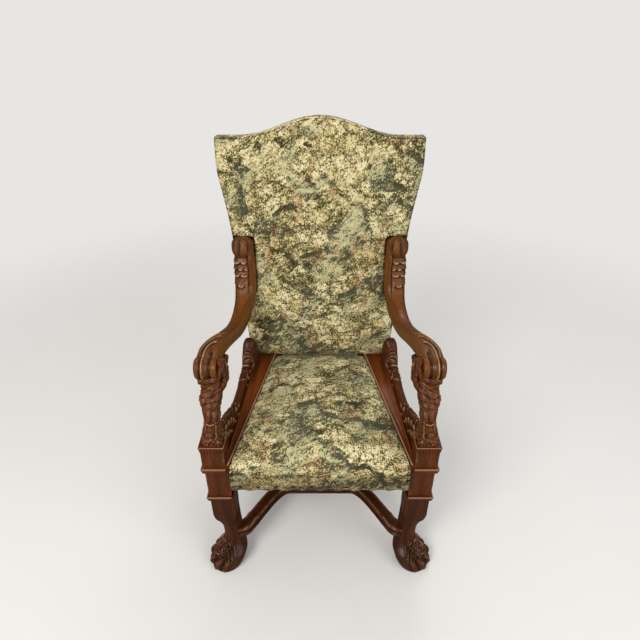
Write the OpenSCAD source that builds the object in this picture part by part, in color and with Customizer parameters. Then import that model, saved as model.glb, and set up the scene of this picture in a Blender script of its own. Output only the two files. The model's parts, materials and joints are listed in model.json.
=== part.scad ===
// High-back armchair with swept arms, carved supports and a camel-shaped top rail
// X runs to the right, the chair faces -Y, Z is up; the origin is on the floor at the middle

/* [Overall] */
// Depth from the tips of the front feet to the back of the top rail
overall_d = 780; // [720:5:840]
// Height of the seat boards above the floor
seat_h = 427; // [410:1:445]
// Height of the back at its shoulders
back_h = 1192; // [1120:2:1260]
// Rise of the hump in the middle of the top rail
crest_rise = 59; // [30:1:80]
// Half width of that hump
hump_half = 265; // [220:1:290]
// Lean of the back from upright, in degrees
lean = 8.8; // [5:0.1:11]

/* [Front legs] */
// Distance between the middles of the two leg blocks
block_span = 589; // [560:1:620]
// Width of a leg block
block_w = 61; // [54:1:68]
// Depth of a leg block
block_d = 62; // [56:1:68]
// Sideways step of the upper part of the block
block_step = 6; // [0:1:9]
// Distance that the paw stands in front of the block
paw_reach = 60; // [48:1:72]
// Width of the paw
paw_w = 108; // [90:1:118]
// Depth of the paw
paw_d = 110; // [96:1:120]
// Height of the paw
paw_h = 92; // [80:1:104]
// Width of the leg at its waist
waist_w = 53; // [46:1:72]
// Depth of the leg at its waist
waist_d = 57; // [50:1:76]
// Depth of the leg under its block
knee_d = 72; // [64:1:76]
// Drop of the lower moulding below the seat rails
low_moulding_drop = 55; // [20:1:66]
// Drop of the middle moulding below the seat boards
mid_moulding_drop = 10; // [4:1:16]
// Height of the mouldings
moulding_h = 11; // [6:1:14]
// Projection of the mouldings
moulding_out = 8; // [4:1:12]
// Height of the upper block above the seat boards
upper_block_h = 62; // [50:1:76]

/* [Rear posts] */
// Width of a rear post
post_w = 52; // [44:1:58]
// Depth of a rear post
post_d = 40; // [34:1:46]
// Depth of a rear leg at the floor
rear_foot_d = 36; // [30:1:42]
// Distance that the rear legs splay back
rear_splay = 96; // [60:1:120]
// Half width of the back at the seat
back_low_half = 257; // [240:1:264]
// Half width of the back at its shoulders
back_top_half = 339; // [315:1:350]

/* [Seat frame] */
// Height of the seat rails
rail_h = 74; // [60:1:84]
// Thickness of the side rails
side_rail_t = 48; // [40:1:54]
// Thickness of the front and rear rails
cross_rail_t = 28; // [22:1:34]
// Set-back of the side rails from the outer sides of the blocks
rail_set_in = 23; // [17:1:29]
// Overhang of the side rails beyond the back at the seat
rail_overhang = 13; // [5:1:27]
// Thickness of the border boards
border_t = 12; // [9:1:16]
// Gap between the seat fabric and a block
fabric_gap = 6; // [4:1:16]
// Half width of the seat fabric at the rear
fabric_rear_half = 166; // [150:1:180]
// Width of the webbing rails
web_rail_w = 30; // [24:1:36]
// Height of the webbing rails
web_rail_h = 40; // [30:1:50]
// Size of the corner blocks
corner_size = 46; // [36:1:56]
// Length of the tenons
tenon_l = 22; // [14:1:26]
// Thickness of the tenons
tenon_t = 12; // [8:1:16]
// Clearance of a tenon in its mortise
joint_gap = 0.3; // [0.2:0.05:0.6]

/* [Arms] */
// Height of the volute's top above the floor
arm_h = 736; // [715:1:755]
// Height of the arm's carved end on the back
arm_top_z = 884; // [860:1:920]
// Height of the arm's middle at its lowest
arm_dip_z = 643; // [625:1:655]
// Radius of the volute
volute_r = 33; // [30:1:42]
// Width of the volute
volute_w = 60; // [58:1:74]
// Distance of the volute's middle behind the middle of the block
volute_back = 60; // [48:1:72]
// Distance of the volute's middle outside the middle of the block
volute_side = 12; // [6:1:22]
// Width of the arm at its narrowest
arm_w = 56; // [48:1:64]
// Half thickness of the arm
arm_half_t = 22; // [18:1:26]
// Width of the arm where it lies on the back
arm_pad_w = 74; // [66:1:80]
// Half thickness of the arm where it lies on the back
arm_pad_t = 28; // [24:1:32]
// Length of the arm's end that lies on the back
arm_end_l = 178; // [160:1:190]
// Distance from the back's edge to the middle of the arm's end
arm_inset = 34; // [22:1:44]

/* [Arm supports] */
// Width of the support at its foot
support_w = 56; // [48:1:60]
// Width of the support at its waist
support_waist = 40; // [32:1:46]
// Width of the support under the arm
support_top_w = 60; // [52:1:66]
// Depth of the support at its foot
support_d = 54; // [48:1:58]
// Distance of the support's head behind its foot
support_sweep = 124; // [110:1:136]
// Depth of the side flutes of the support
flute_d = 2.4; // [0:0.2:4]

/* [Side scrolls] */
// Width of the side scrolls
scroll_w = 30; // [24:1:36]
// Height of the side scrolls above the rail in the middle
scroll_h = 30; // [24:1:36]
// Height of the scroll's head above the rail
scroll_head_h = 108; // [90:1:118]
// Width of the scroll's head
scroll_head_w = 54; // [38:1:60]

/* [Stretchers] */
// Height of the stretchers' underside above the floor
stretcher_z = 88; // [70:1:100]
// Height of the stretchers
stretcher_h = 32; // [26:1:38]
// Width of the stretchers
stretcher_w = 40; // [32:1:46]
// Set-back of the front stretcher's middle behind its ends
stretcher_bow = 168; // [110:1:180]
// Share of a stretcher's half length that its bow takes
bow_share = 0.58; // [0.5:0.01:0.8]

/* [Upholstery] */
// Height of the seat crown above the boards
seat_crown = 30; // [18:1:40]
// Depth of the roll in front of the front rail
front_roll = 20; // [12:1:26]
// Height of the front fabric edge above the rail's lower edge
front_hem = 5; // [3:1:10]
// Crown of the back above its frame
back_crown = 24; // [16:1:32]
// Thickness of the back stuffing at its edge
back_edge = 9; // [7:1:12]
// Height of the back's lower edge above the boards
back_gap = 6; // [4:1:10]
// Thickness of the fabric covers
cover_t = 2; // [1.5:0.1:3]
// Thickness of the webbing
web_t = 1.6; // [1:0.1:2]
// Width of a web
web_w = 50; // [40:1:56]
// Thickness of the hessian
hessian_t = 1; // [0.6:0.1:1.4]
// Diameter of a nail head
nail_d = 10; // [7:0.5:12]
// Height of a nail head
nail_h = 3; // [2:0.5:4]
// Distance between nails
nail_pitch = 51; // [40:1:70]

/* [Hidden] */

// Colours
walnut = [0.33, 0.17, 0.09];
walnut_light = [0.45, 0.24, 0.11];
tapestry = [0.62, 0.62, 0.46];
linen = [0.80, 0.74, 0.60];
jute = [0.62, 0.52, 0.36];
bronze = [0.25, 0.18, 0.10];

// Levels and planes of the frame
front_y = -overall_d / 2;
block_front = front_y + paw_reach;
block_back = block_front + block_d;
block_y = block_front + block_d / 2;
block_x = block_span / 2;
block_in = block_x - block_w / 2;
block_out = block_x + block_w / 2;
cap_top_z = seat_h + upper_block_h + moulding_h;
mid_moulding_z = seat_h - mid_moulding_drop - moulding_h;
cap_out = 3;
rail_top_z = seat_h - border_t;
rail_low_z = rail_top_z - rail_h;
outside_t = 2;
peak_z = back_h + crest_rise;
fit = 0.3;
cover_gap = 0.4;
big = 2000;

// Front plane of the back's frame: raked above the seat, upright at the rails
function post_front(z) =
    overall_d / 2 - nail_h / 2 - outside_t - post_d - (peak_z - max(z, seat_h)) * tan(lean);
post_y = post_front(seat_h);

// Smooth step from 0 to 1
function ease(t) = let(u = min(1, max(0, t))) u * u * (3 - 2 * u);

// A value between a and b
function mix(a, b, t) = a + (b - a) * t;

// Half width of the back at a height: a slow taper that flares out below the shoulders
function back_t(z) = (z - seat_h) / (back_h - seat_h);
function back_flare(t) = 0.86 * min(1, t / 0.86) * 0.92 + 0.21 * ease((t - 0.60) / 0.34);
function back_half(z) = mix(back_low_half, back_top_half, min(1, back_flare(back_t(z))));

// Height of the camel-shaped top edge
function crest_z(x) = back_h + (abs(x) < hump_half ? crest_rise * (1 + cos(180 * x / hump_half)) / 2 : 0);

// Seat plan lines, half widths at a depth
rail_front_half = block_out - rail_set_in;
rail_back_half = back_low_half + rail_overhang;
fabric_front_half = block_in - fabric_gap;
seat_front_y = block_front + 3;
seat_rear_y = post_y - 6;
function fabric_half(y) =
    mix(fabric_front_half, fabric_rear_half, (y - seat_front_y) / (seat_rear_y - seat_front_y));
function rail_half(y) = mix(rail_front_half, rail_back_half, (y - block_back) / (post_y - block_back));

// Point between the rows of a table, on a smooth curve through them
function curve4(a, b, c, d, t) =
    0.5 * (2 * b + (c - a) * t + (2 * a - 5 * b + 4 * c - d) * t * t + (3 * b - a - 3 * c + d) * t * t * t);
function along(rows, s) =
    let(m = len(rows) - 1, u = min(max(s, 0), 0.99999) * m, i = floor(u))
    curve4(rows[max(i - 1, 0)], rows[i], rows[i + 1], rows[min(i + 2, m)], u - i);

// Signed power, which squares up a circle
function bow(v, p) = sign(v) * pow(abs(v), p);

// A closed skin over rings that all have the same number of points, its ends closed by fans
function middle(ring) = [for (k = [0 : 2]) (max([for (p = ring) p[k]]) + min([for (p = ring) p[k]])) / 2];
module skin(rings) {
    m = len(rings);
    n = len(rings[0]);
    points = concat([for (r = rings) each r], [middle(rings[0]), middle(rings[m - 1])]);
    walls = [for (j = [0 : m - 2]) for (i = [0 : n - 1])
        let(a = j * n + i, b = j * n + (i + 1) % n, c = a + n, d = b + n)
        each [[a, b, c], [b, d, c]]];
    ends = [for (i = [0 : n - 1])
        let(k = (i + 1) % n, e = (m - 1) * n)
        each [[k, i, m * n], [e + i, e + k, m * n + 1]]];
    polyhedron(points = points, faces = concat(walls, ends));
}

// The same piece on the left or the right
module side(s) {
    if (s > 0) children();
    else mirror([1, 0, 0]) children();
}

// A horizontal rounded-square ring: middle, half sizes, squareness and turn
function level_ring(c, a, b, q, turn, n) = [for (i = [0 : n - 1])
    let(w = -360 * i / n, x = a * bow(cos(w), q), y = b * bow(sin(w), q))
    [c[0] + x * cos(turn) - y * sin(turn), c[1] + x * sin(turn) + y * cos(turn), c[2]]];

// Front leg: square block, S-curved leg and paw
leg_top_z = rail_low_z - low_moulding_drop;
leg_in_x = block_in - 8;
waist_x = block_x - 14;
waist_y = block_y - 6;
paw_x = block_x + 6;
paw_y = front_y + 57.8;
knee_z = mix(leg_top_z, paw_h, 0.48);
knee_x = (block_out + leg_in_x) / 2;
knee_half = (block_out - leg_in_x) / 2;
waist_z = mix(paw_h, leg_top_z, 0.166);
LEG = [
    [paw_x, paw_y, 0, paw_w * 0.41, paw_d * 0.445, 0.86, 24],
    [paw_x - 1, paw_y, paw_h * 0.16, paw_w * 0.475, paw_d * 0.5, 0.90, 24],
    [paw_x - 6, paw_y + 2, paw_h * 0.42, paw_w * 0.52, paw_d * 0.50, 0.92, 24],
    [paw_x - 10, paw_y + 10, paw_h * 0.70, paw_w * 0.48, paw_d * 0.45, 0.90, 26],
    [waist_x + 4, waist_y - 8, paw_h, waist_w * 0.72, waist_d * 0.70, 0.86, 30],
    [waist_x, waist_y, waist_z, waist_w * 0.5, waist_d * 0.5, 0.76, 36],
    [waist_x + 1, waist_y + 3, mix(waist_z, knee_z, 0.42), waist_w * 0.47, waist_d * 0.49, 0.62, 38],
    [waist_x + 6, block_y + 1, mix(waist_z, knee_z, 0.80), waist_w * 0.53, knee_d * 0.46, 0.52, 24],
    [knee_x - 3, block_y + 2, knee_z, knee_half - 3, knee_d * 0.49, 0.38, 7],
    [knee_x, block_y + 3, mix(knee_z, leg_top_z, 0.24), knee_half, knee_d * 0.5, 0.30, 0],
    [knee_x, block_y + 3, leg_top_z, knee_half, knee_d * 0.5, 0.26, 0]
];
// Four toes stand out of the front of the paw
toe_swell = 0.075;
function toe(w, z) = 1 + toe_swell * ease(1.25 - z / (paw_h * 0.6)) * (0.5 + 0.5 * cos(7.2 * w))
    * ease(cos(w) * 1.6);
leg_sides = 28;
leg_rings = 26;

module leg_shaft() {
    skin([for (j = [0 : leg_rings])
        let(r = along(LEG, j / leg_rings), o = level_ring([0, 0, r[2]], r[3], r[4], r[5], 0, leg_sides))
        [for (p = o)
            let(w = atan2(p[0] * 0.6, -p[1]), k = toe(w, r[2]), x = p[0] * k, y = p[1] * k)
            [r[0] + x * cos(r[6]) - y * sin(r[6]), r[1] + x * sin(r[6]) + y * cos(r[6]), r[2]]]]);
}

front_mortise_z = rail_low_z + rail_h * 0.56;
side_mortise_z = rail_low_z + rail_h * 0.10;
tenon_h = rail_h * 0.34;
front_tenon_y = block_front + 3 + cross_rail_t / 2;
side_tenon_x = rail_front_half - side_rail_t * 0.32;

module leg_mortises() {
    g = joint_gap;
    translate([block_in - 1, front_tenon_y - tenon_t / 2 - g, front_mortise_z - g])
        cube([tenon_l + 1 + g, tenon_t + 2 * g, tenon_h + 2 * g]);
    translate([side_tenon_x - tenon_t / 2 - g, block_back - tenon_l - g, side_mortise_z - g])
        cube([tenon_t + 2 * g, tenon_l + 1 + g, tenon_h + 2 * g]);
    translate([0, front_bar_y - stretcher_w / 2 - g, stretcher_z - g])
        cube([front_end_x + g, stretcher_w + 2 * g, stretcher_h + 2 * g]);
}

module front_leg(s) {
    color(walnut) side(s) difference() {
        union() {
            leg_shaft();
            translate([block_in, block_front, leg_top_z - 4])
                cube([block_w, block_d, seat_h - leg_top_z + 4]);
            translate([block_in + block_step, block_front, mid_moulding_z])
                cube([block_w, block_d, cap_top_z - moulding_h - mid_moulding_z]);
        }
        leg_mortises();
    }
}

// Cap of the block, which carries the arm support
module block_cap(s) {
    z = cap_top_z - moulding_h;
    color(walnut_light) side(s) translate([block_in + block_step - cap_out, block_front - cap_out, z]) union() {
        cube([block_w + 2 * cap_out, block_d + 2 * cap_out, moulding_h * 0.6]);
        translate([cap_out / 2, cap_out / 2, moulding_h * 0.6 - 0.01])
            cube([block_w + cap_out, block_d + cap_out, moulding_h * 0.4 + 0.01]);
    }
}

// A moulding mitred round the front and the outer side of a block
module wrap_moulding(x_in, x_out, z) {
    steps = [[0, 0.3, 0.7], [0.3, 0.4, 1], [0.7, 0.3, 0.55]];
    for (t = steps)
        translate([x_in, block_front, z + moulding_h * t[0]])
            linear_extrude(moulding_h * t[1])
                polygon([
                    [0, 0], [x_out - x_in, 0], [x_out - x_in, block_d],
                    [x_out - x_in + moulding_out * t[2], block_d],
                    [x_out - x_in + moulding_out * t[2], -moulding_out * t[2]], [0, -moulding_out * t[2]]
                ]);
}

module mid_moulding(s) {
    color(walnut_light) side(s)
        wrap_moulding(block_in + block_step, block_out + block_step, mid_moulding_z);
}

module low_moulding(s) {
    color(walnut_light) side(s) wrap_moulding(block_in, block_out, leg_top_z);
}

// Rear post: raked above the seat, upright at the rails, splayed below them
post_steps = 12;
function leg_lean(z) = rear_splay * pow(1 - z / rail_low_z, 1.5);
module post_side() {
    low = [for (i = [0 : post_steps]) let(z = rail_low_z * i / post_steps) [post_y + leg_lean(z), z]];
    top = [for (i = [0 : post_steps])
        let(z = rail_low_z * (1 - i / post_steps), d = mix(rear_foot_d, post_d, z / rail_low_z))
        [post_y + leg_lean(z) + d, z]];
    polygon(concat(
        low, [[post_y, seat_h], [post_front(peak_z), peak_z]],
        [[post_front(peak_z) + post_d, peak_z], [post_y + post_d, seat_h]], top
    ));
}

function post_outer(z) = back_half(max(z, seat_h)) - cover_t - 2 * cover_gap;
module post_face() {
    zs = [for (i = [0 : 16]) mix(seat_h, back_h - cover_t - cover_gap, i / 16)];
    polygon(concat(
        [[post_outer(seat_h) - post_w, 0], [post_outer(seat_h), 0]],
        [for (z = zs) [post_outer(z), z]],
        [for (i = [16 : -1 : 0]) [post_outer(zs[i]) - post_w, zs[i]]]
    ));
}

module rear_post(s) {
    g = joint_gap;
    color(walnut) side(s) difference() {
        intersection() {
            translate([-big / 2, 0, 0]) rotate([90, 0, 90]) linear_extrude(big) post_side();
            translate([0, big / 2, 0]) rotate([90, 0, 0]) linear_extrude(big) post_face();
        }
        translate([rear_tenon_x - tenon_t / 2 - g, post_y - 1, side_mortise_z - g])
            cube([tenon_t + 2 * g, tenon_l + 1 + g, tenon_h + 2 * g]);
        translate([rear_end_x - 1, rear_rail_y + (cross_rail_t - tenon_t) / 2 - g, front_mortise_z - g])
            cube([tenon_l + 1 + g, tenon_t + 2 * g, tenon_h + 2 * g]);
        rear_bar_tenons(g);
    }
}

// Seat rails
rear_rail_y = post_y + (post_d - cross_rail_t) / 2;
rear_tenon_x = post_outer(0) - 14;
module front_rail() {
    x = block_in + tenon_l;
    color(walnut) union() {
        translate([-block_in, block_front + 3, rail_low_z]) cube([2 * block_in, cross_rail_t, rail_h]);
        translate([-x, front_tenon_y - tenon_t / 2, front_mortise_z]) cube([2 * x, tenon_t, tenon_h]);
    }
}

module rear_rail() {
    x = post_outer(0) - post_w;
    y = rear_rail_y + (cross_rail_t - tenon_t) / 2;
    color(walnut) union() {
        translate([-x, rear_rail_y, rail_low_z]) cube([2 * x, cross_rail_t, rail_h]);
        translate([-x - tenon_l, y, front_mortise_z]) cube([2 * (x + tenon_l), tenon_t, tenon_h]);
    }
}

module side_rail(s) {
    color(walnut) side(s) union() {
        translate([0, 0, rail_low_z]) linear_extrude(rail_h) polygon([
            [rail_half(block_back) - side_rail_t, block_back], [rail_half(block_back), block_back],
            [rail_half(post_y), post_y], [rail_half(post_y) - side_rail_t, post_y]
        ]);
        translate([side_tenon_x - tenon_t / 2, block_back - tenon_l, side_mortise_z])
            cube([tenon_t, tenon_l + 6, tenon_h]);
        translate([rear_tenon_x - tenon_t / 2, post_y - 6, side_mortise_z])
            cube([tenon_t, tenon_l + 6, tenon_h]);
    }
}

// Webbing rails, under the edges of the seat fabric
web_rail_front = block_front + 3 + cross_rail_t;
module web_rail(s) {
    a = fabric_half(web_rail_front) - web_rail_w * 0.6;
    b = fabric_half(rear_rail_y) - web_rail_w * 0.6;
    color(walnut) side(s) translate([0, 0, rail_top_z - web_rail_h])
        linear_extrude(web_rail_h) intersection() {
            polygon([
                [a, web_rail_front], [a + web_rail_w, web_rail_front],
                [b + web_rail_w, rear_rail_y], [b, rear_rail_y]
            ]);
            polygon([
                [0, web_rail_front], [block_in, web_rail_front], [block_in, block_back],
                [rail_half(block_back) - side_rail_t, block_back], [rail_half(post_y) - side_rail_t, post_y],
                [rail_half(post_y) - side_rail_t, rear_rail_y], [0, rear_rail_y]
            ]);
        }
}

// Triangular corner blocks, glued into the frame's corners
corner_z = rail_low_z + 4;
corner_h = rail_h - web_rail_h - 8;
module front_corner(s) {
    x = rail_half(block_back) - side_rail_t;
    y = web_rail_front;
    color(walnut) side(s) translate([0, 0, corner_z]) linear_extrude(corner_h)
        polygon([[block_in, y], [block_in, block_back], [x, block_back], [x - corner_size, y]]);
}

module rear_corner(s) {
    x = post_outer(0) - post_w;
    color(walnut) side(s) translate([0, 0, corner_z]) linear_extrude(corner_h)
        polygon([
            [x, rear_rail_y], [x, post_y], [rail_half(post_y) - side_rail_t, post_y],
            [rail_half(post_y - corner_size) - side_rail_t, post_y - corner_size],
            [x - corner_size, rear_rail_y]
        ]);
}

// Border board beside the seat fabric, on the side rail and the webbing rail
scroll_in = scroll_w + 2;
module seat_border(s) {
    g = cover_t + fit;
    color(walnut_light) side(s) translate([0, 0, rail_top_z]) linear_extrude(border_t) polygon([
        [fabric_half(block_front + 2) + g, block_front + 2],
        [block_in, block_front + 2], [block_in, block_back],
        [rail_half(block_back) - scroll_in, block_back], [rail_half(post_y) - scroll_in, post_y],
        [fabric_half(post_y) + g, post_y]
    ]);
}

// Side scroll: a low carved rail outside the border board, with a leaf in front and a volute head behind
scroll_sides = 14;
scroll_y0 = block_back + cap_out;
scroll_y1 = post_y - 4;
SCROLL = [
    [0, 0.92, 0.86],
    [0.10, 0.90, 0.80],
    [0.22, 0.62, 0.90],
    [0.34, 0.34, 0.96],
    [0.50, 0.29, 1.00],
    [0.62, 0.34, 1.12],
    [0.70, 0.44, 1.16],
    [0.78, 0.52, 1.04],
    [0.84, 0.84, 0.86 * scroll_head_w / scroll_w],
    [0.885, 1.00, scroll_head_w / scroll_w],
    [0.925, 0.90, 0.93 * scroll_head_w / scroll_w],
    [0.94, 0.08, 0.96],
    [1.00, 0.06, 0.90]
];
function scroll_x(y) = rail_half(y) - scroll_w / 2;
module side_scroll(s) {
    color(walnut_light) side(s) difference() {
        skin([for (j = [0 : 26])
            let(
                r = along(SCROLL, j / 26), y = mix(scroll_y0, scroll_y1, r[0]),
                h = mix(scroll_h * 0.3, scroll_head_h, r[1]), w = scroll_w * r[2] / 2
            )
            [for (i = [0 : scroll_sides - 1])
                let(t = 180 * i / (scroll_sides - 1))
                [scroll_x(y) + bow(cos(t), 0.7) * w, y, rail_top_z + bow(sin(t), 0.7) * h]]]);
        translate([0, 0, rail_top_z - 1]) linear_extrude(border_t + 1 + fit) polygon([
            [0, block_back], [rail_half(block_back) - scroll_in + fit, block_back],
            [rail_half(post_y) - scroll_in + fit, post_y], [0, post_y]
        ]);
    }
}

// Arm: rises from a carved end on the back, dips, and rolls over in a volute
volute_x = block_x + volute_side;
volute_y = block_y + volute_back;
volute_z = arm_h - volute_r;
pad_x = back_half(mix(arm_dip_z, arm_top_z, 0.7)) - arm_inset;
crown_z = volute_z + volute_r - arm_half_t;
function pad_y(z) = post_front(z) - arm_pad_t;
arm_run = pad_y(arm_top_z - arm_end_l) - 6 - volute_y;
function arm_z(g) = mix(arm_dip_z, crown_z, g);
function end_z(f) = arm_top_z - f * arm_end_l;
ARM = [
    [pad_x + 4, pad_y(arm_top_z), arm_top_z, arm_pad_w * 0.20, arm_pad_t * 0.60],
    [pad_x + 4, pad_y(end_z(0.035)), end_z(0.035), arm_pad_w * 0.38, arm_pad_t * 0.95],
    [pad_x + 3, pad_y(end_z(0.14)), end_z(0.14), arm_pad_w * 0.45, arm_pad_t * 1.07],
    [pad_x + 1, pad_y(end_z(0.39)), end_z(0.39), arm_pad_w * 0.48, arm_pad_t * 1.07],
    [pad_x, pad_y(end_z(0.70)), end_z(0.70), arm_pad_w * 0.50, arm_pad_t * 1.04],
    [pad_x + 1, volute_y + arm_run, end_z(0.99), arm_pad_w * 0.49, arm_pad_t],
    [mix(pad_x, volute_x, 0.08), volute_y + 0.91 * arm_run, arm_z(0.34), arm_pad_w * 0.44, arm_pad_t * 0.89],
    [mix(pad_x, volute_x, 0.22), volute_y + 0.77 * arm_run, arm_z(0.02), arm_w * 0.53, arm_half_t + 1],
    [mix(pad_x, volute_x, 0.38), volute_y + 0.61 * arm_run, arm_z(0.06), arm_w * 0.50, arm_half_t],
    [mix(pad_x, volute_x, 0.55), volute_y + 0.45 * arm_run, arm_z(0.36), arm_w * 0.50, arm_half_t],
    [mix(pad_x, volute_x, 0.69), volute_y + 0.30 * arm_run, arm_z(0.70), arm_w * 0.52, arm_half_t],
    [mix(pad_x, volute_x, 0.84), volute_y + 0.17 * arm_run, arm_z(0.91), arm_w * 0.55, arm_half_t],
    [mix(pad_x, volute_x, 0.96), volute_y + 0.065 * arm_run, arm_z(1), volute_w * 0.48, arm_half_t],
    [volute_x, volute_y - 2, arm_z(1), volute_w * 0.47, arm_half_t * 0.86]
];
arm_sides = 14;
arm_rings = 36;
support_head_y = block_y + support_sweep;
land_z = arm_z(0.91) - arm_half_t + 4;

// Room under the arm for the head of its support
module head_room() {
    y0 = volute_y + volute_r + 1;
    translate([volute_x - volute_w, y0, land_z - volute_r])
        cube([2 * volute_w, support_head_y + support_d * 0.5 + 5 - y0, volute_r]);
}

// Direction of the arm's path, in degrees above level
function arm_pitch(s) =
    let(a = along(ARM, s - 0.01), b = along(ARM, s + 0.01)) atan2(b[2] - a[2], b[1] - a[1]);

module arm_sweep() {
    skin([for (j = [0 : arm_rings])
        let(s = j / arm_rings, r = along(ARM, s), p = arm_pitch(min(0.99, max(0.01, s))))
        [for (i = [0 : arm_sides - 1])
            let(w = 360 * i / arm_sides, x = r[3] * bow(cos(w), 0.72), n = r[4] * bow(sin(w), 0.72))
            [r[0] + x, r[1] - n * sin(p), r[2] + n * cos(p)]]]);
}

// The volute: a drum with hollowed cheeks and an eye in the middle
module volute() {
    e = volute_w / 2;
    translate([volute_x, volute_y, volute_z]) rotate([0, 90, 0]) rotate_extrude($fn = 32) polygon([
        [0, -e], [volute_r * 0.22, -e], [volute_r * 0.28, -e + 3], [volute_r * 0.34, -e + 6],
        [volute_r * 0.55, -e + 6], [volute_r * 0.66, -e + 1], [volute_r * 0.84, -e], [volute_r * 0.96, -e + 5],
        [volute_r, -e + 14], [volute_r * 0.97, 0], [volute_r, e - 14], [volute_r * 0.96, e - 5],
        [volute_r * 0.84, e], [volute_r * 0.66, e - 1], [volute_r * 0.55, e - 6], [volute_r * 0.34, e - 6],
        [volute_r * 0.28, e - 3], [volute_r * 0.22, e], [0, e]
    ]);
}

module behind_post_face() {
    translate([-big / 2, 0, 0]) rotate([90, 0, 90]) linear_extrude(big) polygon([
        [post_front(seat_h), seat_h], [post_front(peak_z), peak_z], [post_front(peak_z) + big, peak_z],
        [post_front(seat_h) + big, seat_h]
    ]);
}

module arm(s) {
    color(walnut_light) side(s) difference() {
        union() {
            arm_sweep();
            volute();
        }
        behind_post_face();
        head_room();
    }
}

// Arm support: a carved console that sweeps back from the cap to the underside of the arm
head_x = mix(pad_x, volute_x, 0.75) - 5;
SUPPORT = [
    [0.00, 0, 0, 0.50, 0.50, 0.50],
    [0.06, 0, 0, 0.50, 0.50, 0.54],
    [0.12, 0, -0.01, 0.45, 0.46, 0.70],
    [0.22, 0, -0.04, 0.43, 0.47, 0.80],
    [0.32, 0.20, -0.03, 0.39, 0.43, 0.86],
    [0.42, 0.50, 0.01, 0.35, 0.37, 0.90],
    [0.50, 0.46, 0.06, 0.38, 0.40, 0.90],
    [0.60, 0.18, 0.18, 0.46, 0.46, 0.90],
    [0.70, 0.12, 0.33, 0.50, 0.52, 0.88],
    [0.80, 0.38, 0.54, 0.50, 0.555, 0.84],
    [0.90, 0.76, 0.80, 0.50, 0.535, 0.74],
    [1.00, 1.00, 1.00, 0.50, 0.48, 0.60]
];
support_foot_x = block_x + block_step;
support_sides = 20;
support_rings = 28;
function support_width(t) = t < 0.45 ? mix(support_w, support_waist / 0.72, ease(t / 0.45))
    : mix(support_waist / 0.72, support_top_w, ease((t - 0.45) / 0.3));
module arm_support(s) {
    color(walnut_light) side(s) difference() {
        skin([for (j = [0 : support_rings])
            let(
                r = along(SUPPORT, j / support_rings), t = min(1, max(0, r[0])),
                f = flute_d * ease(6 * t) * ease(6 * (1 - t)),
                cx = mix(support_foot_x, head_x, min(1, max(0, r[1]))), cy = mix(block_y, support_head_y, r[2])
            )
            [for (p = level_ring([0, 0, 0], support_width(t) * r[3], support_d * r[4], r[5], 0, support_sides))
                let(w = atan2(p[1], p[0]), k = 1 - f / 25 * (0.5 - 0.5 * cos(5 * w)))
                [cx + p[0] * k, cy + p[1] * k, mix(cap_top_z, land_z, t)]]]);
        translate([volute_x - volute_w, volute_y, volute_z]) rotate([0, 90, 0])
            cylinder(h = 2 * volute_w, r = volute_r + fit, $fn = 48);
    }
}

// Top rail and lower rail of the back
crest_h = 86;
module between_planes(d0, d1) {
    translate([-big / 2, 0, 0]) rotate([90, 0, 90]) linear_extrude(big) polygon([
        [post_front(seat_h) + d0, seat_h], [post_front(peak_z) + d0, peak_z],
        [post_front(peak_z) + d1, peak_z], [post_front(seat_h) + d1, seat_h]
    ]);
}

module crest_rail() {
    inset = cover_t + cover_gap;
    half = post_outer(back_h);
    z0 = back_h - crest_h;
    in = post_outer(z0) - post_w;
    color(walnut) intersection() {
        translate([0, big / 2, 0]) rotate([90, 0, 0]) linear_extrude(big) difference() {
            polygon(concat(
                [[10 - post_outer(z0), z0], [10 - half, back_h - inset], [-half, back_h - inset]],
                [for (i = [0 : top_n]) let(x = mix(-half, half, i / top_n)) [x, crest_z(x) - inset + 0.01]],
                [[half, back_h - inset], [half - 10, back_h - inset], [post_outer(z0) - 10, z0]],
                [for (i = [1 : 11])
                    let(x = mix(in, -in, i / 12)) [x, z0 + crest_rise * 0.35 * (1 + cos(180 * x / in))]]
            ));
            post_face();
            mirror([1, 0]) post_face();
        }
        between_planes(0, post_d);
    }
}

lower_rail_h = 56;
lower_rail_z = seat_h + back_gap + 4;
module lower_back_rail() {
    z0 = lower_rail_z;
    z1 = z0 + lower_rail_h;
    color(walnut) intersection() {
        translate([0, big / 2, 0]) rotate([90, 0, 0]) linear_extrude(big) polygon([
            [post_outer(z0) - post_w, z0], [post_outer(z1) - post_w, z1],
            [-post_outer(z1) + post_w, z1], [-post_outer(z0) + post_w, z0]
        ]);
        between_planes(4, post_d);
    }
}

// Stretchers: two bowed ones and a straight link between them, of one moulded section
collar_l = 16;
pocket = 12;
front_end_x = waist_x - waist_w / 2 + pocket;
rear_end_x = post_outer(0) - post_w;
front_bar_y = waist_y;
rear_bar_y = post_y + leg_lean(stretcher_z + stretcher_h / 2) + post_d / 2 - 2;
rear_bow = -0.8 * stretcher_bow;
rear_bar_w = rear_foot_d * 0.86;
bar_steps = [[0, 0.26, 1], [0.26, 0.34, 0.80], [0.60, 0.40, 0.94]];

function bar_bow(x, end_x) =
    let(t = max(0, end_x - collar_l - abs(x)) / (end_x - collar_l)) pow(sin(90 * min(1, t / bow_share)), 1.3);
module bar_plan(end_x, y0, bow_y, w) {
    n = 40;
    pts = [for (i = [0 : n]) let(x = mix(-end_x, end_x, i / n)) [x, y0 + bow_y * bar_bow(x, end_x)]];
    function normal(i) =
        let(d = i <= 1 || i >= n - 1 ? [1, 0] : pts[i + 1] - pts[i - 1]) [-d[1], d[0]] / norm(d);
    polygon(concat(
        [for (i = [0 : n]) pts[i] + normal(i) * w / 2], [for (i = [n : -1 : 0]) pts[i] - normal(i) * w / 2]
    ));
}

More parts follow.
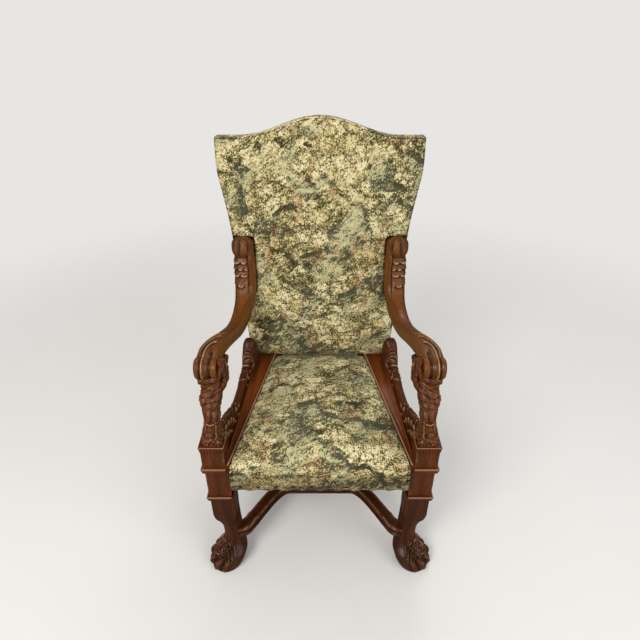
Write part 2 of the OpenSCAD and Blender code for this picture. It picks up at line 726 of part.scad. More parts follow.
module stretcher_bar(end_x, y0, bow_y, w) {
    for (t = bar_steps)
        translate([0, 0, stretcher_z + stretcher_h * t[0]])
            linear_extrude(stretcher_h * t[1]) bar_plan(end_x, y0, bow_y, w * t[2]);
}

module stretcher_front() {
    color(walnut) stretcher_bar(front_end_x, front_bar_y, stretcher_bow, stretcher_w);
}

module rear_bar_tenons(g) {
    x = rear_end_x + tenon_l + g;
    translate([-x, rear_bar_y - tenon_t / 2 - g, stretcher_z + stretcher_h * 0.2 - g])
        cube([2 * x, tenon_t + 2 * g, stretcher_h * 0.6 + 2 * g]);
}

module stretcher_rear() {
    color(walnut) union() {
        stretcher_bar(rear_end_x, rear_bar_y, rear_bow, rear_bar_w);
        for (s = [-1, 1]) side(s) intersection() {
            rear_bar_tenons(0);
            translate([rear_end_x - 1, rear_bar_y - tenon_t, 0]) cube([2 * tenon_l, 2 * tenon_t, peak_z]);
        }
    }
}

module stretcher_link() {
    color(walnut) for (t = bar_steps) {
        y0 = front_bar_y + stretcher_bow + stretcher_w * t[2] / 2;
        y1 = rear_bar_y + rear_bow - rear_bar_w * t[2] / 2;
        translate([-rear_bar_w * t[2] / 2, y0, stretcher_z + stretcher_h * t[0]])
            cube([rear_bar_w * t[2], y1 - y0, stretcher_h * t[1]]);
    }
}

// Seat upholstery: webbing and hessian on the frame, stuffing over them, and the cover
web_z = rail_top_z;
hessian_z = web_z + 2 * web_t;
stuff_z = hessian_z + hessian_t;
web_in = 3;

module seat_webbing() {
    y0 = block_front + 6;
    y1 = rear_rail_y + cross_rail_t - 4;
    across = floor((post_y - 20 - web_rail_front) / (web_w * 1.5));
    gap = (post_y - 20 - web_rail_front) / across;
    color(jute) union() {
        for (i = [0 : across - 1]) {
            y = web_rail_front + 12 + gap * i;
            x0 = fabric_half(y) - web_in;
            x1 = fabric_half(y + web_w) - web_in;
            translate([0, 0, web_z]) linear_extrude(web_t + 0.01)
                polygon([[-x0, y], [x0, y], [x1, y + web_w], [-x1, y + web_w]]);
        }
        for (i = [-2 : 2])
            translate([i * web_w * 1.2 - web_w / 2, y0, web_z + web_t]) cube([web_w, y1 - y0, web_t]);
        translate([-2.9 * web_w, y0, web_z]) cube([5.8 * web_w, cross_rail_t - 10, web_t + 0.01]);
        translate([-2.9 * web_w, rear_rail_y + 3, web_z]) cube([5.8 * web_w, cross_rail_t - 7, web_t + 0.01]);
    }
}

module seat_hessian() {
    y0 = block_front + 9;
    y1 = post_y - 5;
    color(jute) translate([0, 0, hessian_z]) linear_extrude(hessian_t) polygon([
        [-fabric_half(y0) + web_in, y0], [fabric_half(y0) - web_in, y0],
        [fabric_half(y1) - web_in, y1], [-fabric_half(y1) + web_in, y1]
    ]);
}

// Side view of the seat: [depth, height, share of the crown], from the back edge round the roll to the hem
roll_y = block_front + 3;
hem_z = rail_low_z + front_hem;
SEAT_TOP = [
    [post_y - 8, stuff_z + 5, 0],
    [post_y - 26, stuff_z + 9, 0.10],
    [post_y - 70, stuff_z + 13, 0.50],
    [mix(roll_y, post_y, 0.50), stuff_z + 14, 0.85],
    [mix(roll_y, post_y, 0.24), stuff_z + 15, 0.86],
    [roll_y + 30, stuff_z + 14, 0.66],
    [roll_y + 2, stuff_z + 8, 0.42],
    [roll_y - front_roll * 0.72, stuff_z - 6, 0.16],
    [roll_y - front_roll, mix(hem_z, stuff_z, 0.62), 0],
    [roll_y - front_roll * 0.86, mix(hem_z, stuff_z, 0.30), 0],
    [roll_y - front_roll * 0.42, hem_z, 0]
];
SEAT_UNDER = [
    [post_y - 8, stuff_z, 0],
    [post_y - 26, stuff_z, 0],
    [post_y - 70, stuff_z, 0],
    [mix(roll_y, post_y, 0.50), stuff_z, 0],
    [mix(roll_y, post_y, 0.24), stuff_z, 0],
    [roll_y + 30, stuff_z, 0],
    [roll_y + 3, stuff_z, 0],
    [roll_y - 0.5, stuff_z - 8, 0],
    [roll_y - 0.5, mix(hem_z, stuff_z, 0.62), 0],
    [roll_y - 0.5, mix(hem_z, stuff_z, 0.30), 0],
    [roll_y - 0.5, hem_z, 0]
];
seat_across = 12;
seat_rings = 20;
function seat_edge(u) = 1 - pow(abs(u), 3.2);
// A point of the seat's outer skin, thicker by t; u runs across and s from back to front
function seat_point(u, s, t, under) =
    let(
        a = along(SEAT_TOP, s), b = along(SEAT_UNDER, s), p = under ? b : a,
        d = along(SEAT_TOP, s + 0.02) - along(SEAT_TOP, s - 0.02), l = norm([d[0], d[1]]),
        side_drop = under ? 0 : (1 - seat_edge(u)) * 4 * ease(5 - 7 * s),
        y = p[0] + (under ? 0 : t * d[1] / l), z = p[1] + seat_crown * p[2] * seat_edge(u) - side_drop
            + (under ? 0 : -t * d[0] / l)
    )
    [u * (fabric_half(max(y, block_front)) - 0.4 + (t > 0 ? cover_t : 0) - (t > 0 ? 0.2 : 0)), y, z];

module seat_form(t0, t1) {
    skin([for (j = [0 : seat_rings])
        let(s = j / seat_rings)
        concat(
            [for (i = [0 : seat_across]) seat_point(2 * i / seat_across - 1, s, t1, false)],
            [for (i = [seat_across : -1 : 0]) seat_point(2 * i / seat_across - 1, s, max(0, t0), t0 < 0)]
        )]);
}

module seat_stuffing() {
    color(linen) seat_form(-1, 0);
}

module seat_cover() {
    color(tapestry) seat_form(0.5, cover_t);
}

// Dust cover tacked under the rails
module dust_cover() {
    y0 = block_front + 8;
    y1 = rear_rail_y + cross_rail_t - 3;
    t = 1.2;
    color(jute) translate([0, 0, rail_low_z - t]) linear_extrude(t) polygon([
        [-block_in + 4, y0], [block_in - 4, y0], [block_in - 4, block_back + 4],
        [rail_half(block_back + 4) - 10, block_back + 4], [rail_half(post_y - 4) - 10, post_y - 4],
        [rear_end_x - 4, post_y - 4], [rear_end_x - 4, y1],
        [-rear_end_x + 4, y1], [-rear_end_x + 4, post_y - 4],
        [-rail_half(post_y - 4) + 10, post_y - 4], [-rail_half(block_back + 4) + 10, block_back + 4],
        [-block_in + 4, block_back + 4]
    ]);
}

// Outline of the back, as a loop of points seen from the front
back_low_z = seat_h + back_gap;
side_n = 16;
top_n = 30;
bottom_n = 6;
function back_loop(inset) = let(
        z0 = back_low_z + inset, z1 = back_h - inset,
        right = [for (i = [0 : side_n]) let(z = mix(z0, z1, i / side_n)) [back_half(z) - inset, z]],
        top = [for (i = [0 : top_n]) let(x = mix(back_half(z1) - inset, -back_half(z1) + inset, i / top_n))
            [x, crest_z(x) - inset]],
        left = [for (i = [side_n : -1 : 0]) let(z = mix(z0, z1, i / side_n)) [-back_half(z) + inset, z]],
        low = [for (i = [1 : bottom_n - 1])
            [mix(-back_half(z0) + inset, back_half(z0) - inset, i / bottom_n), z0]]
    )
    concat([for (i = [0 : side_n - 1]) right[i]], top, [for (i = [1 : side_n]) left[i]], low);

back_mid_z = mix(back_low_z, back_h, 0.5);
// Loop shrunk towards the middle by a share k, in front of the frame by d
function back_ring(inset, k, d) = [for (p = back_loop(inset))
    let(x = p[0] * k, z = mix(back_mid_z, p[1], k)) [x, post_front(z) - d, z]];
// Shares of the outline and of the crown, from the edge to the middle
BACK_RINGS = [[1, 0], [0.98, 0.34], [0.92, 0.60], [0.80, 0.82], [0.60, 0.95], [0.30, 1], [0.02, 1]];
function back_depth(f) = back_edge + (back_crown - back_edge) * f;

module arm_notches(g) {
    for (s = [-1, 1]) side(s) intersection() {
        translate([pad_x - arm_pad_w / 2 - g, -big / 2, arm_dip_z + 24])
            cube([arm_pad_w + 60, big, arm_top_z - arm_dip_z - 24 + g]);
        between_planes(-60, 0);
    }
}

module back_webbing() {
    rows = floor((back_h - crest_h - lower_rail_z - lower_rail_h) / (web_w * 1.9));
    step = (back_h - crest_h - lower_rail_z - lower_rail_h) / rows;
    color(jute) union() {
        intersection() {
            for (i = [-2 : 2])
                translate([i * web_w * 1.35 - web_w / 2, -big / 2, lower_rail_z + 8])
                    cube([web_w, big, back_h - 24 - lower_rail_z]);
            between_planes(-web_t, 0);
        }
        difference() {
            intersection() {
                for (i = [0 : rows - 1])
                    let(z = lower_rail_z + lower_rail_h + (i + 0.5) * step - web_w / 2)
                    translate([10 - post_outer(z), -big / 2, z]) cube([2 * post_outer(z) - 20, big, web_w]);
                between_planes(-2 * web_t, 0);
            }
            arm_notches(1);
        }
    }
}

module back_hessian() {
    color(jute) difference() {
        intersection() {
            translate([0, big / 2, 0]) rotate([90, 0, 0]) linear_extrude(big) polygon(back_loop(cover_t + 4));
            between_planes(-2 * web_t - hessian_t, -2 * web_t);
        }
        arm_notches(1);
    }
}

stuff_d = 2 * web_t + hessian_t + 0.05;
module back_stuffing() {
    color(linen) difference() {
        skin(concat(
            [for (i = [len(BACK_RINGS) - 1 : -1 : 0])
                back_ring(cover_t + cover_gap, BACK_RINGS[i][0], back_depth(BACK_RINGS[i][1]) - cover_gap)],
            [back_ring(cover_t + cover_gap, 1, stuff_d)]
        ));
        arm_notches(1);
    }
}

module back_cover() {
    n = len(BACK_RINGS);
    color(tapestry) difference() {
        skin(concat(
            [for (i = [n - 1 : -1 : 0]) back_ring(0, BACK_RINGS[i][0], back_depth(BACK_RINGS[i][1]) + cover_t)],
            [back_ring(0, 1, -post_d), back_ring(cover_t, 1, -post_d)],
            [for (r = BACK_RINGS) back_ring(cover_t, r[0], back_depth(r[1]))]
        ));
        arm_notches(1);
        intersection() {
            behind_post_face();
            translate([-big / 2, 0, 0]) cube([big, big, lower_rail_z]);
        }
    }
}

module outside_back() {
    color(tapestry) intersection() {
        translate([0, big / 2, 0]) rotate([90, 0, 0]) linear_extrude(big) polygon(back_loop(1));
        between_planes(post_d, post_d + outside_t);
    }
}

// A domed nail head whose flat side is at the origin, facing along +Z
module nail_head() {
    r = (nail_d * nail_d / 4 + nail_h * nail_h) / (2 * nail_h);
    rotate_extrude($fn = 24) polygon(concat(
        [[0, 0]], [for (i = [0 : 4]) let(z = nail_h * i / 4) [sqrt(max(0, r * r - pow(z + r - nail_h, 2))), z]]
    ));
}

hem_share = 0.975;
hem_a = seat_point(0, hem_share - 0.015, cover_t, false);
hem_b = seat_point(0, hem_share + 0.015, cover_t, false);
hem_tilt = atan2(hem_a[1] - hem_b[1], hem_a[2] - hem_b[2]);
module hem_nail(x, s) {
    p = seat_point(0, s, cover_t + fit, false);
    translate([x, p[1], p[2]]) rotate([90 - hem_tilt, 0, 0]) nail_head();
}

module front_nails() {
    n = floor((2 * fabric_front_half - 50) / nail_pitch);
    color(bronze) for (i = [0 : n]) hem_nail((i - n / 2) * nail_pitch, hem_share);
}

back_nail_in = 9;
module back_nails() {
    rows = floor((back_h - back_low_z - 40) / nail_pitch);
    tops = floor(2 * (back_top_half - 30) / nail_pitch);
    lows = floor(2 * (back_low_half - 30) / nail_pitch);
    places = concat(
        [for (i = [0 : rows]) for (s = [-1, 1])
            let(z = mix(back_low_z + 20, back_h - 20, i / rows)) [s * (back_half(z) - back_nail_in), z]],
        [for (i = [1 : tops - 1]) let(x = mix(-back_top_half + 10, back_top_half - 10, i / tops))
            [x, crest_z(x) - back_nail_in]],
        [for (i = [1 : lows - 1]) let(x = mix(-back_low_half + 10, back_low_half - 10, i / lows))
            [x, back_low_z + back_nail_in]]
    );
    color(bronze) for (p = places)
        translate([p[0], post_front(p[1]) + post_d + outside_t, p[1]])
            rotate([-90 - lean, 0, 0]) nail_head();
}

front_leg(-1);  // front_leg_left
front_leg(1);  // front_leg_right
block_cap(-1);  // block_cap_left
block_cap(1);  // block_cap_right
mid_moulding(-1);  // mid_moulding_left
mid_moulding(1);  // mid_moulding_right
low_moulding(-1);  // low_moulding_left
low_moulding(1);  // low_moulding_right
rear_post(-1);  // rear_post_left
rear_post(1);  // rear_post_right
front_rail();
rear_rail();
side_rail(-1);  // side_rail_left
side_rail(1);  // side_rail_right
web_rail(-1);  // web_rail_left
web_rail(1);  // web_rail_right
front_corner(-1);  // front_corner_left
front_corner(1);  // front_corner_right
rear_corner(-1);  // rear_corner_left
rear_corner(1);  // rear_corner_right
seat_border(-1);  // seat_border_left
seat_border(1);  // seat_border_right
side_scroll(-1);  // side_scroll_left
side_scroll(1);  // side_scroll_right
arm_support(-1);  // arm_support_left
arm_support(1);  // arm_support_right
arm(-1);  // arm_left
arm(1);  // arm_right
crest_rail();
lower_back_rail();
stretcher_front();
stretcher_rear();
stretcher_link();
seat_webbing();
seat_hessian();
seat_stuffing();
seat_cover();
dust_cover();
back_webbing();
back_hessian();
back_stuffing();
back_cover();
outside_back();
front_nails();
back_nails();
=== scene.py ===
"""High-back carved armchair: carving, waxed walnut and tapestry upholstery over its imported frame.

The chair faces -Y, X runs to the right, Z is up, all lengths are in metres.
"""

import json
import math

import bpy
import numpy as np
from bpy.props import FloatProperty, FloatVectorProperty, PointerProperty
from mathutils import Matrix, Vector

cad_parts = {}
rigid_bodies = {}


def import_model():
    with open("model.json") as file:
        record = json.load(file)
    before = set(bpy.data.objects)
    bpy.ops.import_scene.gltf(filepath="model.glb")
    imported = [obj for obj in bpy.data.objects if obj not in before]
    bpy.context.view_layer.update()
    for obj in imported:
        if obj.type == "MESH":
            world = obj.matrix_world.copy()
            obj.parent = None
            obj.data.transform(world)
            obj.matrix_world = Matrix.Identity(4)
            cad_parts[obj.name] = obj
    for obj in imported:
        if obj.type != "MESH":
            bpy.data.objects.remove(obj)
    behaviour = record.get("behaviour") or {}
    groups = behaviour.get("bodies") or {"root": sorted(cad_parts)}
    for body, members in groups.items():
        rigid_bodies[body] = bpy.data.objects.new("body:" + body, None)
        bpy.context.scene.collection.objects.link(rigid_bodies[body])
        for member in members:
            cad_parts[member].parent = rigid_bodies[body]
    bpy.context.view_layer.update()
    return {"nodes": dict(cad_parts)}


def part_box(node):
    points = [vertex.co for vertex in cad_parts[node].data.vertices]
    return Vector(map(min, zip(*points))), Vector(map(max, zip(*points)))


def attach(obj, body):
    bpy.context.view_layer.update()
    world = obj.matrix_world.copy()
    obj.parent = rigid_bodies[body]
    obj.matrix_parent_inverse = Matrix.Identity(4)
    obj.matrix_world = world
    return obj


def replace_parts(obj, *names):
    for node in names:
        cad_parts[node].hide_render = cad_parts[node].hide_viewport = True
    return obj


bl_info = {
    "name": "High-back carved armchair",
    "version": (1, 0, 0),
    "blender": (4, 5, 0),
    "location": "View3D > Sidebar > Armchair",
    "description": "Builds the carved walnut, the upholstery and the stage of a high-back armchair",
    "category": "Object",
}

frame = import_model()
NODES = frame["nodes"]
SIDES = (("left", -1), ("right", 1))
BACKDROP = (0.80, 0.79, 0.77)

# Lengths that several pieces share, in metres

BACK_LAYERS, BACK_FRAME_DEPTH = 0.0035, 0.040
ARM_TOP, ARM_DIP, ARM_HALF_THICK = 0.884, 0.643, 0.022
ARM_END_LENGTH, ARM_END_WIDTH, ARM_END_HALF_THICK = 0.178, 0.074, 0.028
PAW_TOP = 0.078
NAIL_PITCH = 0.051
LOWER_OUT, UPPER_OUT = 0.0065, 0.0045

# The photo's camera: focal length and width in pixels, degrees below level, and place in metres

FOCAL_PIXELS, PHOTO_PIXELS, SENSOR = 477.0, 640.0, 36.0
CAMERA_PITCH, CAMERA_HEIGHT, CAMERA_DISTANCE = 31.5, 1.490, 0.880


# Settings


def length(name, description, default):
    """A length in metres."""
    return FloatProperty(name=name, description=description, default=default, unit="LENGTH", precision=4)


def colour(name, description, default):
    """A colour as it renders under plain light."""
    return FloatVectorProperty(
        name=name, description=description, default=default, size=3, subtype="COLOR", min=0, max=1
    )


class ArmchairSizes(bpy.types.PropertyGroup):
    """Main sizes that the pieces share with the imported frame."""

    depth: length("Depth", "From the tips of the front feet to the back of the top rail", 0.780)
    seat_height: length("Seat boards", "Height of the seat boards above the floor", 0.427)
    shoulder_height: length("Shoulders", "Height of the back at its shoulders", 1.192)
    crest_rise: length("Crest rise", "Rise of the hump in the middle of the back", 0.059)
    hump_half: length("Hump", "Half width of the hump", 0.265)
    lean: FloatProperty(
        name="Lean", description="Lean of the back", default=math.radians(8.8), subtype="ANGLE"
    )
    block_span: length("Block span", "Distance between the middles of the leg blocks", 0.589)
    block_width: length("Block width", "Width of a leg block", 0.061)
    block_depth: length("Block depth", "Depth of a leg block", 0.062)
    block_step: length("Block step", "Sideways step of the upper block", 0.006)
    paw_reach: length("Paw reach", "Distance that the paw stands in front of the block", 0.060)
    back_low_half: length("Back at the seat", "Half width of the back at the seat", 0.257)
    back_top_half: length("Back at the shoulders", "Half width of the back at its shoulders", 0.339)
    fabric_rear_half: length("Fabric at the rear", "Half width of the seat fabric at the rear", 0.166)
    volute_radius: length("Volute radius", "Radius of the arm's volute", 0.033)
    volute_width: length("Volute width", "Width of the arm's volute", 0.060)
    seat_crown: length("Seat crown", "Height of the seat crown above the boards", 0.030)
    back_crown: length("Back crown", "Crown of the back above its frame", 0.024)


class ArmchairCarving(bpy.types.PropertyGroup):
    """Depths of the carving."""

    leaf: length("Leaf relief", "Depth of the leaf carving", 0.0045)
    scale: length("Scale relief", "Depth of the overlapping scales", 0.0032)
    ridge: length("Volute ridges", "Depth of the ridges round the volutes", 0.0040)
    toe: length("Toe grooves", "Depth of the grooves between the toes", 0.0100)


class ArmchairFinish(bpy.types.PropertyGroup):
    """Colours of the wood and of the tapestry."""

    walnut: colour("Walnut", "Body of the dark walnut", (0.084, 0.0185, 0.0018))
    waxed: colour("Waxed walnut", "Arms, rubbed and waxed", (0.150, 0.046, 0.0050))
    recess: colour("Recess", "Dirt and old wax in the carving", (0.010, 0.0035, 0.0010))
    # Pale ridges and edges: partly rubbed, partly painted highlight.
    rubbed_and_highlit: colour("Worn edge", "Edges rubbed pale", (0.50, 0.285, 0.155))
    shade: colour("Shade", "Dark hollows between the trees", (0.036, 0.033, 0.010))
    moss: colour("Moss", "Dark green wool", (0.128, 0.110, 0.034))
    ground: colour("Ground", "Grey-green ground", (0.270, 0.230, 0.080))
    straw: colour("Straw", "Middle yellow wool", (0.430, 0.352, 0.140))
    cream: colour("Cream", "Light leaves", (0.670, 0.566, 0.278))
    ivory: colour("Ivory", "Lightest stitches", (0.905, 0.815, 0.500))
    haze: colour("Haze", "Pale grey-green air between the trees", (0.440, 0.436, 0.240))
    rust: colour("Rust", "Trunks and branches", (0.300, 0.150, 0.050))


class Plan:
    """Planes and curves that all the pieces share, worked out from the sizes."""

    def __init__(self, sizes):
        self.sizes = sizes
        self.seat = sizes.seat_height
        self.front = -sizes.depth / 2
        self.block_front = self.front + sizes.paw_reach
        self.block_back = self.block_front + sizes.block_depth
        self.block_y = (self.block_front + self.block_back) / 2
        self.block_x = sizes.block_span / 2
        self.block_in = self.block_x - sizes.block_width / 2
        self.block_out = self.block_x + sizes.block_width / 2
        self.rail_top = self.seat - 0.012
        self.rail_low = self.rail_top - 0.074
        self.leg_top = self.rail_low - 0.055
        self.cap_top = self.seat + 0.073
        self.peak = sizes.shoulder_height + sizes.crest_rise
        self.post_y = float(self.post_front(self.seat))
        self.volute = np.array([self.block_x + 0.012, self.block_y + 0.060, 0.736 - sizes.volute_radius])
        self.drum, self.drum_radius = self.volute + [0, -0.002, 0.0045], sizes.volute_radius - 0.005
        self.pad_x = float(self.back_half(mix(ARM_DIP, ARM_TOP, 0.7))) - 0.034
        self.fabric_front_half = self.block_in - 0.006
        self.back_low = self.seat + 0.006

    def post_front(self, z):
        """Front plane of the back's frame: raked above the seat, upright below it."""
        rise = self.peak - np.maximum(z, self.seat)
        return self.sizes.depth / 2 - BACK_LAYERS - BACK_FRAME_DEPTH - rise * math.tan(self.sizes.lean)

    def back_half(self, z):
        """Half width of the back: a slow taper that flares out below the shoulders."""
        t = (z - self.seat) / (self.sizes.shoulder_height - self.seat)
        flare = 0.7912 * np.minimum(1, t / 0.86) + 0.21 * ease(0.60, 0.94, t)
        return mix(self.sizes.back_low_half, self.sizes.back_top_half, np.minimum(1, flare))

    def crest(self, x):
        """Top edge of the back: one raised cosine between level shoulders."""
        hump = np.cos(np.pi * np.clip(np.abs(x) / self.sizes.hump_half, 0, 1))
        return self.sizes.shoulder_height + self.sizes.crest_rise * (1 + hump) / 2

    def fabric_half(self, y):
        """Half width of the seat fabric: a straight taper towards the back."""
        start, end = self.block_front + 0.003, self.post_y - 0.006
        return mix(self.fabric_front_half, self.sizes.fabric_rear_half, (y - start) / (end - start))

    def rail_half(self, y):
        """Outer half width of the side rails: a straight taper from the blocks to the posts."""
        share = (y - self.block_back) / (self.post_y - self.block_back)
        return mix(self.block_out - 0.023, self.sizes.back_low_half + 0.013, share)


# Arithmetic of surfaces


def mix(a, b, t):
    """From a at t = 0 to b at t = 1 in a straight line."""
    return a + (b - a) * t


def ease(low, high, x):
    """Smooth step from 0 at low to 1 at high."""
    t = np.clip((x - low) / (high - low), 0, 1)
    return t * t * (3 - 2 * t)


def bump(x, middle, half):
    """A round hump of height 1 that ends at middle - half and middle + half."""
    return np.cos(np.clip((x - middle) / half, -1, 1) * np.pi / 2) ** 2


def follow(rows, share):
    """Rows of a table joined by a Catmull-Rom curve, read at shares from 0 to 1."""
    rows = np.asarray(rows, float)
    last = len(rows) - 1
    u = np.clip(share, 0, 0.99999) * last
    i = np.floor(u).astype(int)
    t = (u - i)[..., None]
    a, b, c, d = (rows[np.clip(i + k, 0, last)] for k in (-1, 0, 1, 2))
    return 0.5 * (2 * b + (c - a) * t + (2 * a - 5 * b + 4 * c - d) * t**2 + (3 * b - a - 3 * c + d) * t**3)


def section(sides, square):
    """Points of a rounded square at even angles.

    The radius is (|cos|^k + |sin|^k)^(-1/k), with k = 2 / squareness.
    """
    angle = np.linspace(0, 2 * np.pi, sides, endpoint=False)[None]
    k = 2 / np.asarray(square, float).reshape(-1, 1)
    radius = (np.abs(np.cos(angle)) ** k + np.abs(np.sin(angle)) ** k) ** (-1 / k)
    return radius * np.cos(angle), radius * np.sin(angle)


def outward(rings):
    """Unit normals of a closed tube: the cross product of the steps round it and along it."""
    normal = np.cross(np.roll(rings, -1, 1) - np.roll(rings, 1, 1), np.gradient(rings, axis=0))
    normal /= np.linalg.norm(normal, axis=2, keepdims=True) + 1e-12
    facing = ((rings - rings.mean(1, keepdims=True)) * normal).sum()
    return normal if facing > 0 else -normal


def soften(values, times):
    """Blur on the grid, along it and round it.

    Each value becomes a quarter of its two neighbours and half of itself.
    """
    for _ in range(times):
        values = (np.roll(values, 1, 1) + 2 * values + np.roll(values, -1, 1)) / 4
        padded = np.concatenate([values[:1], values, values[-1:]])
        values = (padded[:-2] + 2 * values + padded[2:]) / 4
    return values


def scales(x, y):
    """Overlapping round-ended scales; odd rows are shifted by half.

    The height grows along each scale to its edge, which is the arc sqrt(1 - (2u)^2).
    """
    row = np.floor(y)
    v = y - row
    u = np.mod(x + 0.5 * np.mod(row, 2), 1) - 0.5
    arc = np.sqrt(np.clip(1 - (2 * u) ** 2, 0, 1))
    rib = 0.16 * np.cos(np.pi * np.clip(np.abs(u) * 5, 0, 1))
    return np.where(v < arc, 0.30 + 0.70 * v / np.maximum(arc, 0.2) + rib, 0.5 * (v - arc))


def leaf(u, v, lobes):
    """A lobed leaf from v = 0 to its tip at v = 1.

    A domed body lies inside a scalloped edge, with a raised midrib and side veins.
    """
    edge = np.clip(np.sin(np.pi * np.clip(v, 0, 1) ** 0.7), 0, 1) ** 0.6
    edge = np.maximum(edge * (0.72 + 0.28 * np.abs(np.cos(np.pi * lobes * v + 0.6 * np.abs(u)))), 1e-3)
    inside = ease(1.0, 0.86, np.abs(u) / edge) * (v > 0) * (v < 1)
    body = 0.55 + 0.30 * np.sqrt(np.clip(1 - (u / edge) ** 2, 0, 1)) + 0.22 * np.exp(-((u / 0.10) ** 2))
    veins = 0.16 * np.cos(2 * np.pi * (lobes * v - 1.3 * np.abs(u)))
    return inside * (body + veins)


def acanthus(u, v, lobes):
    """Acanthus leaf: lobes that spring from a midrib.

    Each lobe is a rounded ridge that rises to its outer end, with two fine veins.
    """
    flow = v * lobes - 1.1 * np.abs(u) ** 1.3
    part = np.mod(flow, 1)
    ridge = np.sin(np.pi * part) ** 0.55
    veins = 0.14 * np.cos(6 * np.pi * part)
    rib = np.exp(-((u / 0.11) ** 2))
    return (ridge + veins) * (0.45 + 0.55 * np.clip(np.abs(u) * 1.4, 0, 1)) * (1 - 0.6 * rib) + 0.9 * rib


def rubbed_and_highlit(relief, gain, blur=26):
    """Ridge values from 0 in the hollows to 1 on the ridges: half, plus gain times the relief above its own
    blur.
    """
    # Low values darken the hollows as dirt; high values paint the ridges pale, partly as rubbing and partly
    # as painted highlight.
    return np.clip(0.5 + gain * (relief - soften(relief, blur)), 0, 1)


class Skin:
    """Points, faces, ridge values and straightened grain coordinates of one or more closed surfaces."""

    def __init__(self):
        self.points, self.faces, self.wear, self.grain, self.count = [], [], [], [], 0

    def tube(self, rings, relief=0.0, grain=None, wear=None, gain=240.0, blur=26):
        """A closed tube of rings, carved by relief along its normals.

        Each end is closed by a fan on its middle.
        """
        carved = rings + outward(rings) * np.broadcast_to(relief, rings.shape[:2])[..., None]
        m, n = rings.shape[:2]
        if wear is None:
            wear = rubbed_and_highlit(np.broadcast_to(relief, (m, n)), gain, blur)
        if grain is None:
            grain = rings
        poles = [carved[0].mean(0), carved[-1].mean(0)]
        points = np.concatenate([carved.reshape(-1, 3), poles])
        a = (np.arange(m - 1)[:, None] * n + np.arange(n)[None]).ravel()
        b = (np.arange(m - 1)[:, None] * n + (np.arange(n)[None] + 1) % n).ravel()
        walls = np.stack([a, b, b + n, a + n], 1)
        i = np.arange(n)
        k = (i + 1) % n
        start = np.stack([k, i, np.full(n, m * n)], 1)
        end = np.stack([(m - 1) * n + i, (m - 1) * n + k, np.full(n, m * n + 1)], 1)
        quad = carved[:-1], np.roll(carved, -1, 1)[:-1], np.roll(carved, -1, 1)[1:], carved[1:]
        volume = (np.cross(quad[0], quad[1]) * quad[2]).sum() + (np.cross(quad[0], quad[2]) * quad[3]).sum()
        volume += (np.cross(points[start[:, 0]], points[start[:, 1]]) * points[start[:, 2]]).sum()
        volume += (np.cross(points[end[:, 0]], points[end[:, 1]]) * points[end[:, 2]]).sum()
        for faces in (walls, start, end):
            self.faces.append((faces if volume > 0 else faces[:, ::-1]) + self.count)
        self.points.append(points)
        self.wear.append(
            np.concatenate([np.broadcast_to(wear, (m, n)).ravel(), [wear[0].mean(), wear[-1].mean()]])
        )
        grain = np.broadcast_to(grain, rings.shape)
        self.grain.append(np.concatenate([grain.reshape(-1, 3), [grain[0].mean(0), grain[-1].mean(0)]]))
        self.count += m * n + 2
        return self

    def mesh(self, name, side=1):
        """A mesh of all the surfaces, mirrored in X for the left side."""
        points = np.concatenate(self.points) * [side, 1, 1]
        faces = [(f if side > 0 else f[:, ::-1]).tolist() for f in self.faces]
        mesh = bpy.data.meshes.new(name)
        mesh.from_pydata(points.tolist(), [], [face for part in faces for face in part])
        return mesh

    def build(self, name, material, slot, side=1, sharp=None):
        """The mesh object of all the surfaces, with the ridge values and grain that its material reads."""
        mesh = self.mesh(name, side)
        add_values(mesh, "wear", "FLOAT", np.concatenate(self.wear))
        add_values(mesh, "grain", "FLOAT_VECTOR", np.concatenate(self.grain))
        return finish_piece(name, mesh, material, sharp)


def add_values(mesh, name, kind, values):
    """A point attribute that the materials read."""
    layer = mesh.attributes.new(name, kind, "POINT")
    layer.data.foreach_set("value" if kind == "FLOAT" else "vector", np.asarray(values, np.float32).ravel())


def finish_piece(name, mesh, material, sharp=None):
    """Links a mesh as an object that rides on the chair, with the given material."""
    mesh.update()
    mesh.shade_smooth()
    if sharp:
        mesh.set_sharp_from_angle(angle=math.radians(sharp))
    mesh.materials.append(material)
    piece = bpy.data.objects.new(name, mesh)
    bpy.context.scene.collection.objects.link(piece)
    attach(piece, "root")
    return piece


def build_pair(skin, name, node, material, slot, sharp=None):
    """Builds the pieces of both sides, mirror images, which stand for the CAD nodes of the two sides."""
    for end, side in SIDES:
        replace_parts(skin.build(name + end, material, slot, side, sharp), node + end)


def straight(rings, centre):
    """Grain coordinates of a bent piece: place in the section, and the way along the middle line."""
    step = np.linalg.norm(np.diff(centre, axis=0), axis=1)
    way = np.concatenate([[0], np.cumsum(step)])[:, None]
    offset = rings - centre[:, None]
    across = np.linalg.norm(offset[..., 1:], axis=2) * np.sign(offset[..., 2] + 1e-4 * offset[..., 1])
    return np.stack([offset[..., 0], across, np.broadcast_to(way, across.shape)], 2)


